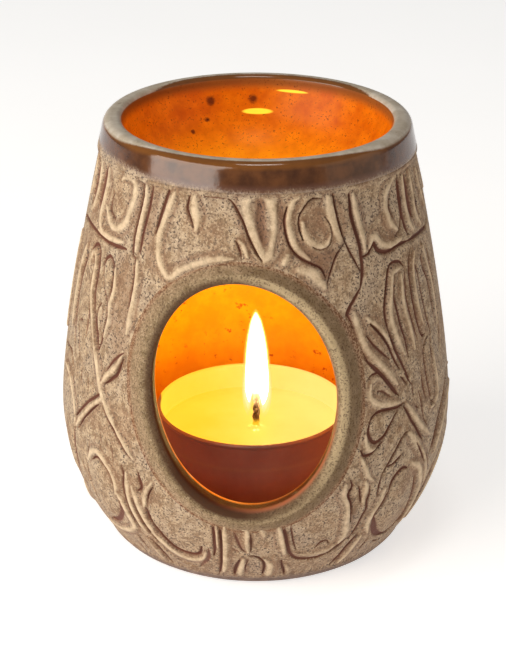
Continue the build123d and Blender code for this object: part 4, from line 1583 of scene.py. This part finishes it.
def chamber_finish():
    """The chamber's glaze: orange with painted flame light, iron specks, and painted shade towards the
    floor.
    """
    f = Finish("chamber_glaze")
    mottle = f.noise(3.5 * mm, detail=4.0)
    cloud = f.noise(10 * mm, detail=3.0)
    shade = f.mix((mottle * 0.6 + cloud * 0.4).rise(0.35, 0.65), colour(240, 168, 6), colour(255, 200, 14))
    # Towards the floor it is painted darker, as shade, and gets less painted glow.
    low = 1 - f.z.rise(12 * mm, 34 * mm)
    shade = f.mix(low * 0.6, shade, colour(190, 96, 6))
    blurred = f.noise(1.4 * mm, detail=3.0, rough=0.6)
    spots = blurred.rise(0.6, 0.7) * cloud.rise(0.42, 0.6)
    shade = f.mix(spots, shade, colour(190, 66, 6))
    # Painted flame light, as emission.
    glow = (1 - low * 0.9) * (1 - spots * 0.6) * (0.7 + cloud * 0.5)
    f.surface(
        Base_Color=shade,
        Roughness=0.28 + mottle * 0.1,
        Normal=f.bump(mottle, 0.12 * mm),
        Emission_Color=f.scaled(colour(255, 166, 0), glow),
        Emission_Strength=0.45,
    )
    return f


dress(chamber_finish(), chamber_lining, vent_lip)
glazed_rim.data.materials.append(chamber_lining.data.materials[0])
facing_down = -0.1
for face in glazed_rim.data.polygons:
    if face.normal.z < facing_down and face.center.z < band_low:
        face.material_index = 2

# %% [markdown]
# ## Tealight finishes
# The foil is bright metal that mirrors the orange chamber, with a painted sheen and painted light at
# its edge. The wax is lit from above and scatters the light, so a painted glow is added to it, with a
# painted reflection of the flame. The wick is charred cotton with an ember at its tip.

# %% Foil, wax, wick and tab
shade_start, shade_end = -15 * mm, 13 * mm


def foil_finish():
    """Pressed foil, a little wrinkled, with painted flame light on its inner edge and a faint painted
    sheen.
    """
    f = Finish("pressed_foil")
    wrinkle = f.noise(2.5 * mm, detail=3.0, stretch=(1, 1, 0.3))
    mottle = f.noise(6 * mm)
    shade = f.mix(mottle, colour(118, 90, 76), colour(150, 122, 110))
    from_middle = ((f.x - tealight_x) ** 2 + f.y * f.y) ** 0.5
    # Painted flame light on the foil's inner edge by the wax, wider towards the back.
    edge = from_middle - f.y.rise(0, 8 * mm) * 2 * mm
    lit = 1 - edge.rise(cup_mouth - 0.45 * mm, cup_mouth - 0.2 * mm)
    lit = lit * f.z.rise(wax_top - mm, wax_top)
    far = 1 - f.x.rise(shade_start, shade_end)
    painted_edge_light = f.mix(far, colour(255, 228, 122), colour(255, 214, 54))
    # A faint painted sheen, brighter higher up.
    sheen = f.scaled(colour(30, 30, 28), 0.3 + f.z.rise(wax_top - 7 * mm, wax_top))
    f.surface(
        Base_Color=shade,
        Metallic=0.75,
        Roughness=0.4 + mottle * 0.12,
        Normal=f.bump(wrinkle, 0.1 * mm, 0.5),
        Emission_Color=f.mix(lit, sheen, painted_edge_light),
        Emission_Strength=0.9,
    )
    return f


def wax_finish():
    """Wax with painted flame light: pale yellow, with painted shade to the left and a painted flame
    reflection in front.
    """
    f = Finish("molten_wax")
    cloud = f.noise(6 * mm)
    # Painted shade to the left, and painted flame light as the wax's glow.
    far = 1 - (f.x + (cloud - 0.5) * 8 * mm).rise(shade_start, shade_end)
    shade = f.mix(far, colour(120, 92, 40), colour(128, 78, 22))
    glow = f.mix(far, colour(255, 226, 118), colour(255, 213, 52))
    # A painted reflection of the flame on the wax in front of the wick.
    narrow = 1 - (f.x - wick_x).magnitude().rise(0.4 * mm, 1.1 * mm)
    painted_flame_reflection = narrow * (1 - f.y.rise(-13 * mm, -8 * mm))
    glow = f.mix(painted_flame_reflection * 0.7, glow, colour(255, 221, 10))
    f.surface(
        Base_Color=shade,
        Roughness=0.1 + cloud * 0.05,
        Normal=f.bump(cloud, 0.05 * mm, 0.4),
        Emission_Color=f.scaled(glow, 0.95 + (cloud - 0.5) * 0.1),
        Emission_Strength=0.95,
    )
    return f


def wick_finish():
    """Charred cotton with a glowing knob, and painted glow on its yellow foot where the wax is drawn up."""
    f = Finish("burnt_wick")
    ash = f.noise(0.3 * mm, detail=3.0)
    above = (f.z - wax_top) / (wick_top - wax_top)
    ember = (above + (ash - 0.5) * 0.1).rise(0.76, 0.88)
    soaked = 1 - above.rise(0.1, 0.26)
    shade = f.mix(ash.rise(0.35, 0.65), colour(48, 22, 10), colour(126, 88, 66))
    # Painted glow on the foot where the wax is drawn up, and the ember's own glow at the tip.
    glow = f.mix(soaked, f.scaled(colour(255, 160, 20), ember), colour(255, 196, 40))
    f.surface(
        Base_Color=shade,
        Roughness=0.85 + ash * 0.1,
        Normal=f.bump(ash, 0.08 * mm),
        Emission_Color=glow,
        Emission_Strength=1.0,
    )
    return f


def tab_finish():
    """Tinned sheet."""
    f = Finish("tin_tab")
    scratch = f.noise(1.2 * mm, detail=3.0, stretch=(1, 4, 1))
    shade = f.mix(scratch, colour(150, 146, 140), colour(196, 192, 186))
    f.surface(Base_Color=shade, Metallic=1.0, Roughness=0.3 + scratch * 0.2)
    return f


dress(foil_finish(), foil_cup)
dress(wax_finish(), wax_pool)
dress(wick_finish(), braided_wick)

# %% Flame


def flame_finish(name, low, high, thick, power):
    """Glowing gas, clear below low and full above high, and clear a little further up at the wick."""
    f = Finish(name)
    wisp = f.noise(3 * mm)
    beside = (f.x - wick_x).magnitude().rise(0.5 * mm, 1.8 * mm)
    there = (f.z + (wisp - 0.5) * mm - (1 - beside) * 4.4 * mm).rise(low, high)
    up = f.z.rise(wick_top - 1 * mm, wick_top + 8 * mm)
    shade = f.mix(up, colour(255, 244, 180), colour(255, 222, 90))
    glow = f.node("ShaderNodeEmission", values={"Color": shade, "Strength": power})
    clear = f.node("ShaderNodeBsdfTransparent")
    f.output(f.node("ShaderNodeMixShader", values={0: there * thick, 1: clear, 2: glow}))
    return f


core_power, layer_power = 50.0, 1.1
core_clear, core_full = wick_top - 4.6 * mm, wick_top - 1.4 * mm
layer_clear, layer_full = wick_top - 7.5 * mm, wick_top - mm
dress(flame_finish("flame_heart", core_clear, core_full, 1.0, core_power), flame_core)
for layer, thick in zip(flame_layers, (0.6, 0.4, 0.2)):
    glow = flame_finish(layer.name + "_glow", layer_clear, layer_full, thick, layer_power)
    dress(glow, layer)

# %% CAD node that stays in view
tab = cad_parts["wick_tab"]
tab.data.materials[0] = tab_finish().material
print(len(bpy.data.materials), "finishes")

# %% [markdown]
# ## Floor and light
# The picture was taken in a white studio: a pale table that fades into white, and two broad soft
# lights. The left one is the key. Each shows in the glazed rim as a pale window, with the dark gap
# of the camera's side between them. A third, small light above only lifts the rim's crest and the
# bowl a little.

# %% Pale floor
floor_size = 3.0


def floor_finish():
    """Pale matt table, hardly mottled."""
    f = Finish("pale_floor")
    cloud = f.noise(120 * mm)
    f.surface(
        Base_Color=f.mix(cloud, colour(224, 223, 221), colour(230, 229, 228)),
        Roughness=0.9 + cloud * 0.05,
        Emission_Color=f.mix(cloud, colour(252, 252, 251), colour(255, 255, 255)),
        Emission_Strength=0.62,
    )
    return f


bm = bmesh.new()
bmesh.ops.create_grid(bm, x_segments=1, y_segments=1, size=floor_size / 2)
floor = finish_object("floor", bm)
dress(floor_finish(), floor)

# %% Lights
light_distance = 0.6
light_aim = Vector((0, 0, 50 * mm))
world_strength = 0.2


def softbox(name, azimuth, elevation, width, height, power, shade):
    """A soft rectangular light aimed at the burner, placed round and up from the window's side."""
    data = bpy.data.lights.new(name, "AREA")
    data.shape = "RECTANGLE"
    data.size, data.size_y = width, height
    data.energy = power
    data.color = shade[:3]
    light = bpy.data.objects.new(name, data)
    bpy.context.scene.collection.objects.link(light)
    turn, lift = azimuth * degree, elevation * degree
    away = Vector((math.sin(turn) * math.cos(lift), -math.cos(turn) * math.cos(lift), math.sin(lift)))
    aim = (-away).to_track_quat("-Z", "Y").to_matrix().to_4x4()
    light.matrix_world = Matrix.Translation(light_aim + away * light_distance) @ aim


softbox("key_left", -50, 24, 0.6, 0.5, 4.0, colour(255, 249, 240))
softbox("fill_right", 76, 20, 0.55, 0.5, 0.42, colour(255, 228, 200))
softbox("top", 10, 80, 0.16, 0.1, 0.4, colour(255, 250, 245))

world = bpy.data.worlds.new("white_studio")
bpy.context.scene.world = world
world.use_nodes = True
background = world.node_tree.nodes["Background"]
background.inputs["Color"].default_value = (1, 1, 1, 1)
background.inputs["Strength"].default_value = world_strength
bpy.context.scene.view_settings.view_transform = "Standard"
print(len(bpy.data.lights), "lights")
